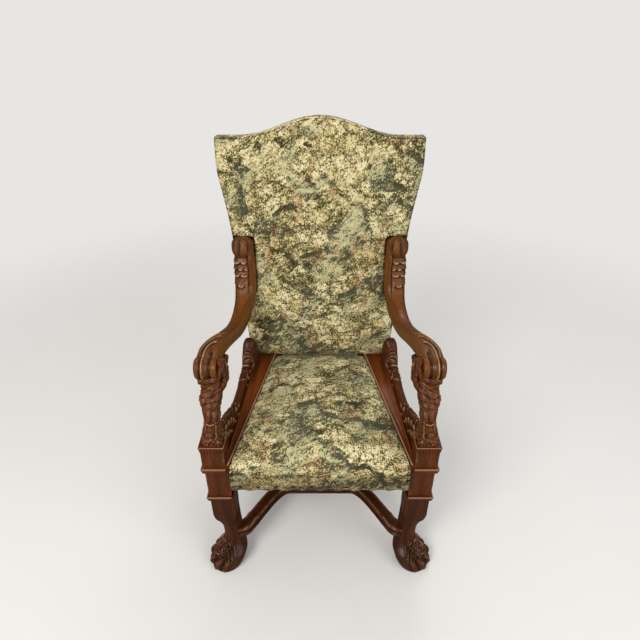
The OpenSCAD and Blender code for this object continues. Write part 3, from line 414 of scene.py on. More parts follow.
def box_rings(low, high, levels, corner, steps=5):
    """Rings of an upright box with rounded corners, and 1 at the points of its corners.

    Levels are rows of height and outset on X low, X high, Y low and Y high.
    """
    levels = np.asarray(levels, float)
    arc = np.linspace(0, np.pi / 2, steps)
    edge = np.linspace(0, 1, 12, endpoint=False)[1:]
    x0, x1 = low[0] - levels[:, 1], high[0] + levels[:, 2]
    y0, y1 = low[1] - levels[:, 3], high[1] + levels[:, 4]
    corners = [(x1, y1, 0), (x0, y1, 1), (x0, y0, 2), (x1, y0, 3)]
    parts = []
    for x, y, turn in corners:
        sx, sy = (1, -1, -1, 1)[turn], (1, 1, -1, -1)[turn]
        cx, cy = x - sx * corner, y - sy * corner
        angle = arc + turn * np.pi / 2
        parts.append(
            np.stack([cx[:, None] + corner * np.cos(angle), cy[:, None] + corner * np.sin(angle)], 2)
        )
    loop = []
    for i, part in enumerate(parts):
        after = parts[(i + 1) % 4][:, 0]
        between = part[:, -1][:, None] + (after - part[:, -1])[:, None] * edge[None, :, None]
        loop += [part, between]
    plan = np.concatenate(loop, 1)
    z = np.broadcast_to(levels[:, :1], plan.shape[:2])
    round_corner = np.concatenate(
        [np.full(k, v) for _ in range(4) for k, v in ((steps, 1.0), (len(edge), 0.0))]
    )
    return np.concatenate([plan, z[..., None]], 2), round_corner


# Shader expressions


class Value:
    """A node socket on which Python's operators add Math nodes."""

    def __init__(self, shader, socket):
        self.shader, self.socket = shader, socket

    def math(self, operation, *others, clamp=False):
        """One Math node, with this value as its first input."""
        return self.shader.node(
            "ShaderNodeMath", {"operation": operation, "use_clamp": clamp}, [self, *others]
        )["Value"]

    def __add__(self, other):
        return self.math("ADD", other)

    def __sub__(self, other):
        return self.math("SUBTRACT", other)

    def __mul__(self, other):
        return self.math("MULTIPLY", other)

    def __truediv__(self, other):
        return self.math("DIVIDE", other)

    def __pow__(self, other):
        return self.math("POWER", other)

    def __rsub__(self, other):
        return self.shader.node("ShaderNodeMath", {"operation": "SUBTRACT"}, [other, self])["Value"]

    __radd__ = __add__
    __rmul__ = __mul__

    def step(self, low, high):
        """Smooth step from 0 at low to 1 at high, also with low above high."""
        flip = low > high
        settings = {"interpolation_type": "SMOOTHSTEP"}
        ends = [self, min(low, high), max(low, high), 1.0 if flip else 0.0, 0.0 if flip else 1.0]
        return self.shader.node("ShaderNodeMapRange", settings, ends)["Result"]


class Outputs:
    """The output sockets of a node by name."""

    def __init__(self, shader, node):
        self.shader, self.node = shader, node

    def __getitem__(self, name):
        named = [o for o in self.node.outputs if o.name == name and o.enabled]
        return Value(self.shader, named[0])


class Shader:
    """A material under construction, with its Principled shader."""

    def __init__(self, name):
        self.material = bpy.data.materials.new(name)
        self.material.use_nodes = True
        self.tree = self.material.node_tree
        self.tree.nodes.clear()
        self.surface = self.tree.nodes.new("ShaderNodeBsdfPrincipled")
        output = self.tree.nodes.new("ShaderNodeOutputMaterial")
        self.tree.links.new(self.surface.outputs["BSDF"], output.inputs["Surface"])

    def node(self, kind, settings=None, inputs=None):
        """A node of that type, its settings first and then its sockets, by name or in order."""
        node = self.tree.nodes.new(kind)
        for name, value in (settings or {}).items():
            setattr(node, name, value)
        shown = [s for s in node.inputs if s.enabled]
        pairs = inputs.items() if isinstance(inputs, dict) else enumerate(inputs or [])
        for key, value in pairs:
            socket = shown[key] if isinstance(key, int) else [s for s in shown if s.name == key][0]
            if isinstance(value, Value):
                self.tree.links.new(value.socket, socket)
            elif value is not None:
                socket.default_value = value
        return Outputs(self, node)

    def set(self, **values):
        """Sets or links sockets of the Principled shader; underscores stand for spaces."""
        for name, value in values.items():
            socket = self.surface.inputs[name.replace("_", " ")]
            if isinstance(value, Value):
                self.tree.links.new(value.socket, socket)
            else:
                socket.default_value = value
        return self.material

    def blend(self, a, b, factor, mode="MIX"):
        """Colours a and b mixed by factor."""
        settings = {"data_type": "RGBA", "blend_type": mode}
        node = self.node("ShaderNodeMix", settings, {"Factor": factor, "A": rgba(a), "B": rgba(b)})
        return node["Result"]

    def attribute(self, name, output):
        """A point attribute of the mesh."""
        return self.node("ShaderNodeAttribute", {"attribute_name": name})[output]

    def objects(self):
        """The place on the object, in metres."""
        return self.node("ShaderNodeTexCoord")["Object"]

    def stretched(self, place, scale=(1, 1, 1), turn=(0, 0, 0), shift=(0, 0, 0)):
        """A place scaled, turned and shifted."""
        values = {"Vector": place, "Location": shift, "Rotation": turn, "Scale": scale}
        return self.node("ShaderNodeMapping", None, values)["Vector"]

    def axes(self, place):
        """The X, Y and Z of a place."""
        return self.node("ShaderNodeSeparateXYZ", None, [place])

    def channels(self, tint):
        """The Red, Green and Blue of a colour."""
        return self.node("ShaderNodeSeparateColor", None, [tint])

    def noise(self, place, scale, detail=2.0, rough=0.5, distortion=0.0):
        """A noise texture, with its outputs Fac and Color."""
        values = {
            "Vector": place, "Scale": scale, "Detail": detail, "Roughness": rough, "Distortion": distortion
        }
        return self.node("ShaderNodeTexNoise", {"noise_dimensions": "3D"}, values)

    def field(self, place, scale, detail=2.0, rough=0.5, distortion=0.0):
        """The plain values of a noise texture."""
        return self.noise(place, scale, detail, rough, distortion)["Fac"]

    def cells(self, place, scale):
        """Flat cells round scattered points: distance to the nearest point, its place and a colour."""
        settings = {"voronoi_dimensions": "2D"}
        return self.node("ShaderNodeTexVoronoi", settings, {"Vector": place, "Scale": scale})

    def vector(self, operation, inputs):
        """One Vector Math node."""
        return self.node("ShaderNodeVectorMath", {"operation": operation}, inputs)["Vector"]

    def shift(self, place, by, amount):
        """A place moved by a noise colour centred on zero."""
        centred = self.vector("SUBTRACT", [by, (0.5, 0.5, 0.5)])
        scaled = self.vector("SCALE", {"Vector": centred, "Scale": amount})
        return self.vector("ADD", [place, scaled])

    def bumped(self, height, distance, strength=1.0, under=None):
        """A normal tilted by a height field, over another normal if there is one."""
        values = {"Strength": strength, "Distance": distance, "Height": height}
        if under is not None:
            values["Normal"] = under
        return self.node("ShaderNodeBump", None, values)["Normal"]


def rgba(value):
    """A colour as a socket takes it; a Value passes through."""
    return value if isinstance(value, Value) else (*tuple(value)[:3], 1.0)


def shade(colour_value, factor):
    """A colour times a factor."""
    return tuple(c * factor for c in colour_value)


def wood(name, body, finish, axis=None, gloss=0.32, coat=0.14, rub_and_highlight_gain=1.0, low=None):
    """Waxed walnut: fibres along one axis, year bands, pores, dirt in the carving, and pale ridges and edges
    that are partly rubbed and partly painted highlight.

    axis is 0, 1 or 2 for a straight CAD piece, or None for a piece with grain and ridge values of its own.
    With low, the colour is multiplied darker below 0.30 m, a painted shade under the seat.
    """
    s = Shader(name)
    carved = axis is None
    place = s.attribute("grain", "Vector") if carved else s.objects()
    along = 2 if carved else axis
    scale = [1.0, 1.0, 1.0]
    scale[along] = 0.07
    fibre_place = s.stretched(place, tuple(scale))
    bend = s.noise(
        s.stretched(place, tuple(0.35 if k == along else 1.0 for k in range(3))), 9.0, 2.0
    )["Color"]
    fibre_place = s.shift(fibre_place, bend, 0.010)
    bands = s.field(fibre_place, 46.0, 3.0, 0.55, 0.6)
    fibres = s.field(fibre_place, 420.0, 3.0, 0.6)
    pores = s.field(fibre_place, 900.0, 1.0, 0.5).step(0.60, 0.72)
    patches = s.field(place, 7.0, 3.0, 0.6)
    light = s.blend(
        shade(body, 1.40), (body[0] * 1.95, body[1] * 2.15, body[2] * 2.3), patches.step(0.45, 0.75)
    )
    base = s.blend(shade(body, 0.55), light, bands.step(0.30, 0.68))
    base = s.blend(base, shade(body, 0.60), fibres.step(0.62, 0.40) * 0.60)
    base = s.blend(base, shade(body, 0.22), pores * 0.55)
    rough = gloss + 0.16 * fibres + 0.10 * patches
    pitted = 0.6 * fibres - 0.9 * pores
    if carved:
        wear = s.attribute("wear", "Fac")
        rub = s.field(place, 75.0, 3.0, 0.65)
        dirt = (0.5 - wear + 0.30 * (rub - 0.5)).step(0.02, 0.30)
        # Edge marks pale ridges and arrises, partly rubbed and partly painted highlight.
        edge = (wear - 0.5 + 0.55 * (rub - 0.5)).step(0.10, 0.44) * rub_and_highlight_gain
        base = s.blend(base, finish.recess, dirt * 0.90)
        base = s.blend(base, s.blend(shade(body, 2.2), finish.rubbed_and_highlit, edge), edge * 0.75)
        rough = rough + 0.20 * dirt - 0.10 * edge
    # Painted shade: below 0.30 m the colour is multiplied by low, as shade under the seat on the legs and
    # stretchers.
    if low:
        height = s.axes(s.objects())["Z"]
        base = s.blend(base, low, height.step(0.300, 0.270), "MULTIPLY")
    scratches = s.field(place, 160.0, 2.0, 0.6).step(0.66, 0.72)
    rough = rough + 0.10 * scratches
    normal = s.bumped(pitted, 0.00022, 0.75)
    normal = s.bumped(patches, 0.0025, 0.25, normal)
    return s.set(
        Base_Color=base, Roughness=rough, Normal=normal, Coat_Weight=coat, Coat_Roughness=0.16, IOR=1.34
    )


def foliage(s, place, scale, lobes):
    """Leaf sprays: a rosette in each cell, cut by fine radial strokes.

    Its edge is at 0.26 + 0.34 |cos(lobes a / 2)| of the cell, where a is the angle round its middle.
    """
    cell = s.cells(place, scale)
    split = s.axes(s.vector("SUBTRACT", [place, cell["Position"]]))
    tone = s.channels(cell["Color"])
    angle = split["Y"].math("ARCTAN2", split["X"]) + 6.283 * tone["Blue"]
    edge = 0.26 + 0.34 * (angle * (lobes / 2)).math("COSINE").math("ABSOLUTE")
    stroke = 0.5 + 0.5 * (angle * lobes * 3).math("COSINE")
    spray = (cell["Distance"] / edge).step(1.10, 0.72) * (0.62 + 0.38 * stroke)
    return spray, tone["Red"], tone["Green"]


def verdure(name, finish):
    """Tapestry with a woodland ground and a ribbed weave.

    Crowns of light leaf sprays have dark hollows under them. Between them are slanting strokes, haze and
    rust trunks, and broad pools of light and dark lie over all.
    """
    s = Shader(name)
    place = s.attribute("cloth", "Vector")
    drift = s.noise(place, 13.0, 2.0, 0.6)["Color"]
    loose = s.shift(place, drift, 0.045)
    frayed = s.shift(place, s.noise(place, 95.0, 2.0, 0.6)["Color"], 0.011)
    crown = s.field(s.stretched(loose, (1, 1.25, 1)), 6.6, 2.5, 0.60).step(0.474, 0.520)
    above = s.field(
        s.stretched(loose, (1, 1.25, 1), shift=(0.004, 0.026, 0)), 6.6, 2.5, 0.60
    ).step(0.47, 0.55)
    under = above * (1 - crown)
    clump = s.cells(s.stretched(s.shift(place, drift, 0.020), (1, 1.2, 1)), 19.0)
    puff = clump["Distance"].step(0.62, 0.16)
    clump_tone = s.channels(clump["Color"])
    big, big_tone, big_kind = foliage(s, frayed, 62.0, 5)
    small, small_tone, small_kind = foliage(s, s.stretched(frayed, shift=(0.37, 0.11, 0)), 118.0, 5)
    speck = s.field(s.stretched(place, (1.0, 0.75, 1.0), shift=(0.6, 0.2, 0)), 220.0, 2.0, 0.75) - 0.5
    mist = s.field(s.stretched(loose, (1, 1.25, 1), shift=(3.1, 1.7, 0.4)), 10.0, 3.0, 0.62) - 0.5
    hollow = s.field(s.stretched(loose, shift=(7.3, 4.9, 2.2)), 14.0, 3.0, 0.6).step(0.50, 0.58)
    slanting = s.stretched(s.shift(place, drift, 0.05), (1.0, 1.0, 1.0), turn=(0, 0, 0.95))
    brush = s.field(s.stretched(slanting, (1.0, 0.26, 1.0)), 125.0, 2.0, 0.6) - 0.5
    pools = s.field(s.stretched(place, shift=(7.1, 3.4, 0)), 4.6, 1.0, 0.5) - 0.5
    fern = s.cells(loose, 13.0)["Distance"]
    arcs = (fern * 62.0).math("COSINE") * fern.step(0.60, 0.30)
    leaves = 0.66 * big * (0.55 + 0.45 * big_tone) + 0.46 * small * (0.35 + 0.65 * small_tone)
    lit = 0.12 + leaves * (0.66 + 0.56 * puff) + 0.17 * puff + 0.16 * (clump_tone["Red"] - 0.5)
    open_air = 0.43 + 1.5 * mist + 1.6 * brush + 0.30 * small * small_tone - 0.28 * hollow + 0.09 * arcs
    tone = (
        1.32
        * (crown * lit + (1 - crown) * open_air - 0.36 * under + speck * (2.0 + 1.1 * crown) + 0.7 * pools)
        - 0.130
    )
    body = s.blend(finish.shade, finish.moss, tone.step(0.02, 0.20))
    for colour_value, low, high in (
        (finish.ground, 0.20, 0.36), (finish.straw, 0.36, 0.52), (finish.cream, 0.52, 0.70),
        (finish.ivory, 0.72, 0.98)
    ):
        body = s.blend(body, colour_value, tone.step(low, high))
    golden = s.blend(shade(finish.straw, 0.35), (0.66, 0.50, 0.17), tone.step(0.20, 0.85))
    body = s.blend(body, golden, crown * clump_tone["Green"].step(0.55, 0.85) * 0.45)
    hazy = s.field(s.stretched(loose, shift=(1.9, 8.2, 0)), 7.5, 2.0, 0.5).step(0.42, 0.52) * (1 - crown)
    body = s.blend(
        body,
        s.blend(shade(finish.haze, 0.20), shade(finish.haze, 1.15), tone.step(0.05, 0.62)),
        hazy * 0.62
    )
    warm = s.field(s.stretched(loose, (1, 0.7, 1), shift=(5.2, 6.6, 0)), 13.0, 2.0, 0.5).step(0.57, 0.66)
    earth = s.blend(shade(finish.rust, 0.45), (0.60, 0.38, 0.17), tone.step(0.10, 0.75))
    body = s.blend(body, earth, warm * (0.35 + 0.65 * big_kind.step(0.2, 0.6)) * 0.70)
    trunk_place = s.stretched(s.shift(place, drift, 0.030), (1.0, 0.16, 1.0))
    line = (s.field(trunk_place, 26.0, 0.0, 0.5) - 0.5).math("ABSOLUTE").step(0.034, 0.012)
    wooded = s.field(s.stretched(place, shift=(5.5, 2.5, 0)), 10.0, 2.0, 0.5).step(0.53, 0.58)
    body = s.blend(
        body, s.blend(finish.rust, (0.52, 0.36, 0.17), small_kind), line * wooded * (1 - 0.7 * crown) * 0.65
    )
    thread = s.field(s.stretched(place, (1.0, 0.45, 1.0)), 620.0, 2.0, 0.7)
    body = s.blend(shade(finish.moss, 0.8), body, thread.step(0.20, 0.44) * 0.30 + 0.70)
    # Painted shade: the cloth darkens below 0.425 m, on the seat's front roll and hem.
    rubbed = s.axes(s.objects())["Z"].step(0.425, 0.385)
    body = s.blend(body, (0.60, 0.56, 0.46), rubbed, "MULTIPLY")
    split = s.axes(place)
    rib = (split["Y"] * (2 * math.pi / 0.0016)).math("SINE")
    cord = (split["X"] * (2 * math.pi / 0.0011)).math("SINE")
    normal = s.bumped(0.5 * rib + 0.3 * cord + 1.6 * thread, 0.00035, 0.8)
    normal = s.bumped(tone, 0.0008, 0.5, normal)
    return s.set(
        Base_Color=body, Roughness=0.86 + 0.10 * thread, Normal=normal, Sheen_Weight=0.06,
        Sheen_Roughness=0.5
    )


def plain_cloth(name, light, dark, pitch):
    """Plain woven cloth: two sets of threads that pass over and under, with slubs."""
    s = Shader(name)
    place = s.objects()
    split = s.axes(place)
    warp = (split["X"] * (2 * math.pi / pitch)).math("SINE")
    weft = ((split["Y"] + split["Z"]) * (2 * math.pi / pitch)).math("SINE")
    slub = s.field(s.stretched(place, (1, 0.2, 0.2)), 260.0, 3.0, 0.6)
    cross = 0.5 + 0.25 * warp * weft + 0.25 * warp
    body = s.blend(dark, light, (0.6 * cross + 0.6 * slub).step(0.25, 0.85))
    stain = s.field(place, 9.0, 3.0, 0.6).step(0.50, 0.75)
    body = s.blend(body, shade(dark, 0.7), stain * 0.5)
    normal = s.bumped(cross + slub, pitch * 0.25, 0.8)
    return s.set(Base_Color=body, Roughness=0.82 + 0.12 * slub, Normal=normal)


def aged_bronze(name):
    """Nail heads: dark patina, rubbed bright on the domes."""
    s = Shader(name)
    place = s.objects()
    spots = s.field(place, 260.0, 3.0, 0.6)
    body = s.blend((0.060, 0.038, 0.020), (0.42, 0.31, 0.18), spots.step(0.46, 0.72))
    normal = s.bumped(spots, 0.0002, 0.5)
    return s.set(Base_Color=body, Metallic=1.0, Roughness=0.13 + 0.20 * spots, Normal=normal)


# Pieces


def finishes(context):
    """The materials of the chair, made once."""
    known = bpy.data.materials
    finish = context.scene.armchair_finish
    if "walnut_carved" not in known:
        wood("walnut_carved", finish.walnut, finish)
        wood("walnut_waxed", finish.waxed, finish, gloss=0.30, coat=0.18)
        # The legs, the foot of the blocks and the stretchers darken below 0.30 m: painted shade under the
        # seat.
        wood("walnut_leg", shade(finish.walnut, 1.16), finish, rub_and_highlight_gain=0.8, low=(0.66, 0.66, 0.60))
        wood("walnut_support", (0.122, 0.032, 0.0034), finish, coat=0.22)
        for axis, letter in enumerate("xyz"):
            wood("walnut_" + letter, finish.walnut, finish, axis)
        wood("walnut_board", shade(finish.walnut, 1.85), finish, gloss=0.32, coat=0.16)
        verdure("tapestry_verdure", finish)
        plain_cloth("jute_webbing", (0.42, 0.31, 0.17), (0.17, 0.11, 0.055), 0.0026)
        plain_cloth("dust_cloth", (0.10, 0.085, 0.065), (0.045, 0.038, 0.030), 0.0012)
        aged_bronze("bronze_aged")
    return known


class ArmchairOperator:
    """Runs a step's make method on the shared plan and materials"""

    bl_options = {"REGISTER", "UNDO"}

    def execute(self, context):
        self.make(context, Plan(context.scene.armchair_sizes), finishes(context))
        return {"FINISHED"}


class ARMCHAIR_OT_frame(ArmchairOperator, bpy.types.Operator):
    """Gives the pieces that keep their CAD shape their wood, jute or bronze"""

    bl_idname = "armchair.frame"
    bl_label = "Frame finishes"

    def make(self, context, plan, known):
        table = {
            "walnut_x": ("front_rail", "rear_rail", "crest_rail", "lower_back_rail", "stretcher_rear"),
            "walnut_y": ("side_rail", "web_rail", "stretcher_link"),
            "walnut_z": ("rear_post", "front_corner", "rear_corner"),
            "jute_webbing": ("seat_webbing", "back_webbing", "seat_hessian", "back_hessian"),
            "bronze_aged": ("front_nails", "back_nails"),
        }
        for material, starts in table.items():
            for name, node in NODES.items():
                if name.startswith(starts):
                    node.data.materials.clear()
                    node.data.materials.append(known[material])


def leg_rows(plan):
    """The front leg from the floor up.

    Each row is middle x and y, height, half width, half depth, squareness and turn in degrees.
    """
    paw_x, paw_y = plan.block_x + 0.007, plan.front + 0.0555
    waist_x, waist_y = plan.block_x - 0.013, plan.block_y - 0.006
    knee_x = (plan.block_out + plan.block_in + 0.001) / 2
    knee_w = (plan.block_out - plan.block_in + 0.011) / 2
    y = plan.block_y
    return [
        [paw_x, paw_y, 0, 0.0488, 0.0530, 0.94, 24],
        [paw_x, paw_y, 0.013, 0.0540, 0.0550, 0.96, 24],
        [paw_x - 0.004, paw_y + 0.001, 0.033, 0.0560, 0.0540, 0.96, 24],
        [paw_x - 0.016, paw_y + 0.008, 0.052, 0.0485, 0.0470, 0.94, 26],
        [waist_x - 0.0015, waist_y - 0.009, 0.068, 0.0375, 0.0390, 0.90, 30],
        [waist_x - 0.004, waist_y - 0.003, 0.086, 0.0285, 0.0310, 0.82, 34],
        [waist_x - 0.003, waist_y, 0.110, 0.0250, 0.0280, 0.70, 36],
        [waist_x - 0.001, waist_y + 0.003, 0.138, 0.0245, 0.0278, 0.52, 36],
        [waist_x + 0.006, y + 0.001, 0.161, 0.0268, 0.0315, 0.42, 24],
        [knee_x - 0.003, y + 0.002, 0.180, knee_w - 0.004, 0.0350, 0.32, 6],
        [knee_x, y + 0.003, 0.200, knee_w - 0.001, 0.0360, 0.24, 1],
        [knee_x, y + 0.003, 0.216, knee_w, 0.0360, 0.22, 0],
        [knee_x, y + 0.003, plan.leg_top + 0.003, knee_w, 0.0360, 0.22, 0],
    ]


def paw_relief(angle, z, carving):
    """Carved foot on the front and outer side, smooth wood behind.

    Four toes with knuckles and claws, and rows of curls above them. The angle is from the paw's front towards
    its outer side, in radians.
    """
    first_toe, toe_turn = np.radians(-38), np.radians(34)
    up = z / PAW_TOP
    carved = ease(np.radians(-44), np.radians(-32), angle) * ease(np.radians(140), np.radians(122), angle)
    share = (angle - first_toe) / toe_turn + 0.22 * np.sin(2.2 * up)
    toe = np.abs(np.sin(np.pi * share)) ** 0.7
    low = ease(0.62, 0.50, up)
    knuckle = 0.74 + 0.34 * bump(up, 0.42, 0.15) - 0.30 * bump(up, 0.27, 0.06) + 0.24 * bump(up, 0.15, 0.11)
    relief = carved * low * carving.toe * 0.80 * (toe * knuckle - 0.62)
    claw = bump(np.mod(share, 1), 0.5, 0.22) * bump(up, 0.11, 0.12)
    relief = relief + 0.0022 * claw * carved
    wave = up + 0.10 * np.sin(5.3 * share)
    column = share * 1.55 + 0.30 * np.sin(4.1 * wave + share)
    row = (1.30 - wave) * 5.2
    curls = scales(column, row)
    eye = np.hypot(np.mod(column + 0.5 * np.mod(np.floor(row), 2), 1) - 0.5, np.mod(row, 1) - 0.45)
    hair = 2.2 * carving.scale * (curls - 0.45) + 0.0016 * np.cos(2 * np.pi * eye * 2.1)
    relief = relief + carved * hair * ease(0.50, 0.58, up) * ease(1.26, 1.04, up)
    rim = bump(angle, np.radians(-40), np.radians(8)) * ease(1.25, 1.05, up) * ease(0.0, 0.1, up)
    return relief + 0.0016 * rim


class ARMCHAIR_OT_front_legs(ArmchairOperator, bpy.types.Operator):
    """Builds the front legs: square blocks over S-curved shafts that end in carved paws"""

    bl_idname = "armchair.front_legs"
    bl_label = "Front legs"

    def make(self, context, plan, known):
        """Rounded squares read from the leg's rows, turned, then moved out by the relief of the paw."""
        carving = context.scene.armchair_carving
        share = np.concatenate([np.linspace(0, 0.42, 150, endpoint=False), np.linspace(0.42, 1, 110)])
        rows = follow(leg_rows(plan), share)
        across, deep = section(180, rows[:, 5])
        x, y = rows[:, 3:4] * across, rows[:, 4:5] * deep
        turn = np.radians(rows[:, 6:7])
        z = np.maximum(rows[:, 2:3], 0)
        rings = np.stack([
            rows[:, :1] + x * np.cos(turn) - y * np.sin(turn),
            rows[:, 1:2] + x * np.sin(turn) + y * np.cos(turn),
            np.broadcast_to(z, x.shape),
        ], 2)
        angle = np.arctan2(x * 0.95, -y)
        relief = paw_relief(angle, z, carving) * ease(0.0, 0.004, z)
        shaft = Skin().tube(rings, relief, straight(rings, rings.mean(1)), gain=190)
        edge, corner_radius, core_width = 0.0016, 0.0022, 0.020
        step = plan.sizes.block_step
        joint = plan.seat - 0.0155
        for low_x, z0, z1, inset, grow in (
            (plan.block_in, plan.leg_top - 0.002, joint, 0, LOWER_OUT),
            (plan.block_in, joint - 0.002, plan.seat - 0.0005, 0.0006, 0),
            (plan.block_in + step, joint, plan.cap_top - 0.0105, 0, UPPER_OUT),
        ):
            low = (low_x + edge, plan.block_front + edge + inset)
            width = plan.sizes.block_width + grow if inset == 0 else core_width
            high = (low_x + width - edge, plan.block_back - edge - inset)
            rings, corner = box_rings(low, high, block_levels(z0, z1, edge), corner_radius)
            # Rounded corners a little paler: partly rubbing, partly painted highlight.
            shaft.tube(rings, 0.0, rings, wear=0.5 + 0.24 * np.broadcast_to(corner, rings.shape[:2]))
        build_pair(shaft, "leg_carved_", "front_leg_", known["walnut_leg"], "walnut", sharp=38)


def block_levels(z0, z1, edge, count=40):
    """Levels of a plain block with chamfered ends: height and outset on X low, X high, Y low and Y high."""
    corners = np.array([
        [z0, 0, 0, 0, 0],
        [z0 + edge / 3, edge, edge, edge, edge],
        [z1 - edge / 3, edge, edge, edge, edge],
        [z1, 0, 0, 0, 0],
    ])
    marks = np.arange(len(corners))
    share = np.unique(np.concatenate([np.linspace(0, marks[-1], count), marks]))
    return np.stack([np.interp(share, marks, column) for column in corners.T], 1)


def profile_levels(z0, height, out, profile):
    """Levels of a moulding on a smooth curve.

    Profile rows are share of the height and share of the projection.
    """
    rows = follow(profile, np.linspace(0, 1, 36))
    return z0 + height * np.clip(rows[:, 0], 0, 1), out * rows[:, 1]


class ARMCHAIR_OT_blocks(ArmchairOperator, bpy.types.Operator):
    """Builds the caps and the mouldings of the front blocks, with pale edges that are partly rubbed and
    partly painted highlight
    """

    bl_idname = "armchair.blocks"
    bl_label = "Caps and mouldings"

    def make(self, context, plan, known):
        """A profile of reach against height is run round each block as squares with rounded corners."""
        width, step = plan.sizes.block_width, plan.sizes.block_step
        cap_profile = [
            [0, 0.0], [0.02, 0.30], [0.30, 0.34], [0.38, 0.80], [0.55, 1.0], [0.86, 1.0], [0.97, 0.92],
            [1, 0.70], [1, 0.0]
        ]
        band = [
            [0, 0.0], [0.02, 0.46], [0.10, 0.54], [0.26, 0.56], [0.42, 0.66], [0.56, 0.86], [0.62, 0.90],
            [0.66, 0.72], [0.70, 0.74], [0.73, 0.98], [0.78, 1.0], [0.92, 1.0], [0.985, 0.90], [1, 0.60],
            [1, 0.0]
        ]
        lower_x, upper_x = plan.block_in, plan.block_in + step
        for kind, z0, tall, in_x, out, grow, profile, all_round in (
            ("block_cap", plan.cap_top - 0.011, 0.011, upper_x, 0.003, UPPER_OUT, cap_profile, True),
            ("mid_moulding", plan.seat - 0.029, 0.019, upper_x, 0.006, UPPER_OUT - 0.0005, band, False),
            ("low_moulding", plan.leg_top - 0.007, 0.018, lower_x, 0.007, LOWER_OUT - 0.0005, band, False),
        ):
            z, reach = profile_levels(z0, tall, out, profile)
            inner = reach if all_round else np.where(reach > 0, 0.0, -0.002)
            levels = np.stack([
                z, inner, reach + grow * (reach > 0), reach, inner if not all_round else reach,
            ], 1)
            rings, _ = box_rings((in_x, plan.block_front), (in_x + width, plan.block_back), levels, 0.0012)
            # The top arris is painted pale as a highlight line along each moulding; the quirk below it is
            # darker.
            rim = (ease(0.45, 0.80, reach / out) * ease(0.66, 0.86, (z - z0) / tall))[:, None]
            wear = 0.42 + 0.90 * rim - 0.30 * bump((z - z0) / tall, 0.68, 0.06)[:, None] * (not all_round)
            skin = Skin().tube(rings, 0.0, rings[..., [2, 1, 0]], wear=np.clip(wear, 0, 1))
            if kind == "block_cap":
                bead_row(skin, plan, in_x, z0 - 0.0065)
            build_pair(skin, kind + "_worn_", kind + "_", known["walnut_leg"], "walnut", sharp=35)


def bead_row(skin, plan, in_x, z):
    """A row of small beads under the cap, on the front and the outer side.

    They are spheres half sunk in the block.
    """
    width, depth = plan.sizes.block_width, plan.sizes.block_depth
    front = [(in_x + width * (i + 0.5) / 7, plan.block_front) for i in range(7)]
    outer = [(in_x + width + UPPER_OUT, plan.block_front + depth * (i + 0.5) / 7) for i in range(7)]
    tall, sides = 9, 14
    theta = np.linspace(0.12, np.pi - 0.12, tall)[:, None]
    phi = np.linspace(0, 2 * np.pi, sides, endpoint=False)[None]
    for x, y in front + outer:
        ball = np.stack([
            0.0036 * np.sin(theta) * np.cos(phi),
            0.0030 * np.sin(theta) * np.sin(phi),
            0.0058 * np.cos(theta) + 0 * phi,
        ], 2)
        if x > in_x + width + 1e-6:
            ball = ball[..., [1, 0, 2]]
        rings = ball + [x, y, z]
        # Each bead is paler round its middle and darker at its ends; the pale middle is partly rubbing and
        # partly painted highlight.
        skin.tube(rings, 0.0, rings, wear=0.36 + 0.26 * np.sin(theta))


def arm_rows(plan):
    """The arm from its end on the back, down, forward and over the volute.

    Each row is the middle, the half width and the half thickness.
    """
    pad_t, pad_w = ARM_END_HALF_THICK, ARM_END_WIDTH
    volute, radius = plan.volute, plan.sizes.volute_radius
    crown = volute[2] + radius - ARM_HALF_THICK
    run = float(plan.post_front(ARM_TOP - ARM_END_LENGTH)) - pad_t - 0.006 - volute[1]
    rows = []
    for f, shift, wide, thick in (
        (0, 0.004, 0.46, 1.04), (0.035, 0.004, 0.465, 1.06), (0.14, 0.003, 0.475, 1.07),
        (0.39, 0.001, 0.48, 1.07), (0.70, 0, 0.50, 1.04)
    ):
        z = ARM_TOP - f * ARM_END_LENGTH
        rows.append([plan.pad_x + shift, float(plan.post_front(z)) - pad_t, z, pad_w * wide, pad_t * thick])
    z = ARM_TOP - 0.99 * ARM_END_LENGTH
    rows.append([plan.pad_x + 0.001, volute[1] + run, z, pad_w * 0.49, pad_t])
    for across, back, rise, wide, thick in (
        (0.08, 0.91, 0.34, pad_w * 0.44, pad_t * 0.89), (0.22, 0.77, 0.02, 0.0297, 0.023),
        (0.38, 0.61, 0.06, 0.028, 0.022), (0.60, 0.45, 0.36, 0.0275, 0.022),
        (0.80, 0.30, 0.70, 0.0318, 0.022), (0.95, 0.17, 0.91, 0.0336, 0.022),
        (1.0, 0.065, 1.0, plan.sizes.volute_width * 0.52, 0.022)
    ):
        x, z = mix(plan.pad_x, volute[0], across), mix(ARM_DIP, crown, rise)
        rows.append([x, volute[1] + back * run, z, wide, thick])
    rows.append([volute[0], volute[1] - 0.002, crown, plan.sizes.volute_width * 0.485, 0.0189])
    return rows


def volute_ridges(across):
    """Ridges round the volute from its outer edge at 1 to its inner edge at -1.

    They are a roll, a quirk, a rib, a wide hollow and two ribs.
    """
    return (
        0.70 * bump(across, 0.77, 0.26) - 0.75 * bump(across, 0.47, 0.07) + 0.95 * bump(across, 0.27, 0.17)
        - 1.15 * bump(across, -0.34, 0.42) + 0.40 * bump(across, -0.60, 0.11)
        + 0.45 * bump(across, -0.95, 0.16)
    )


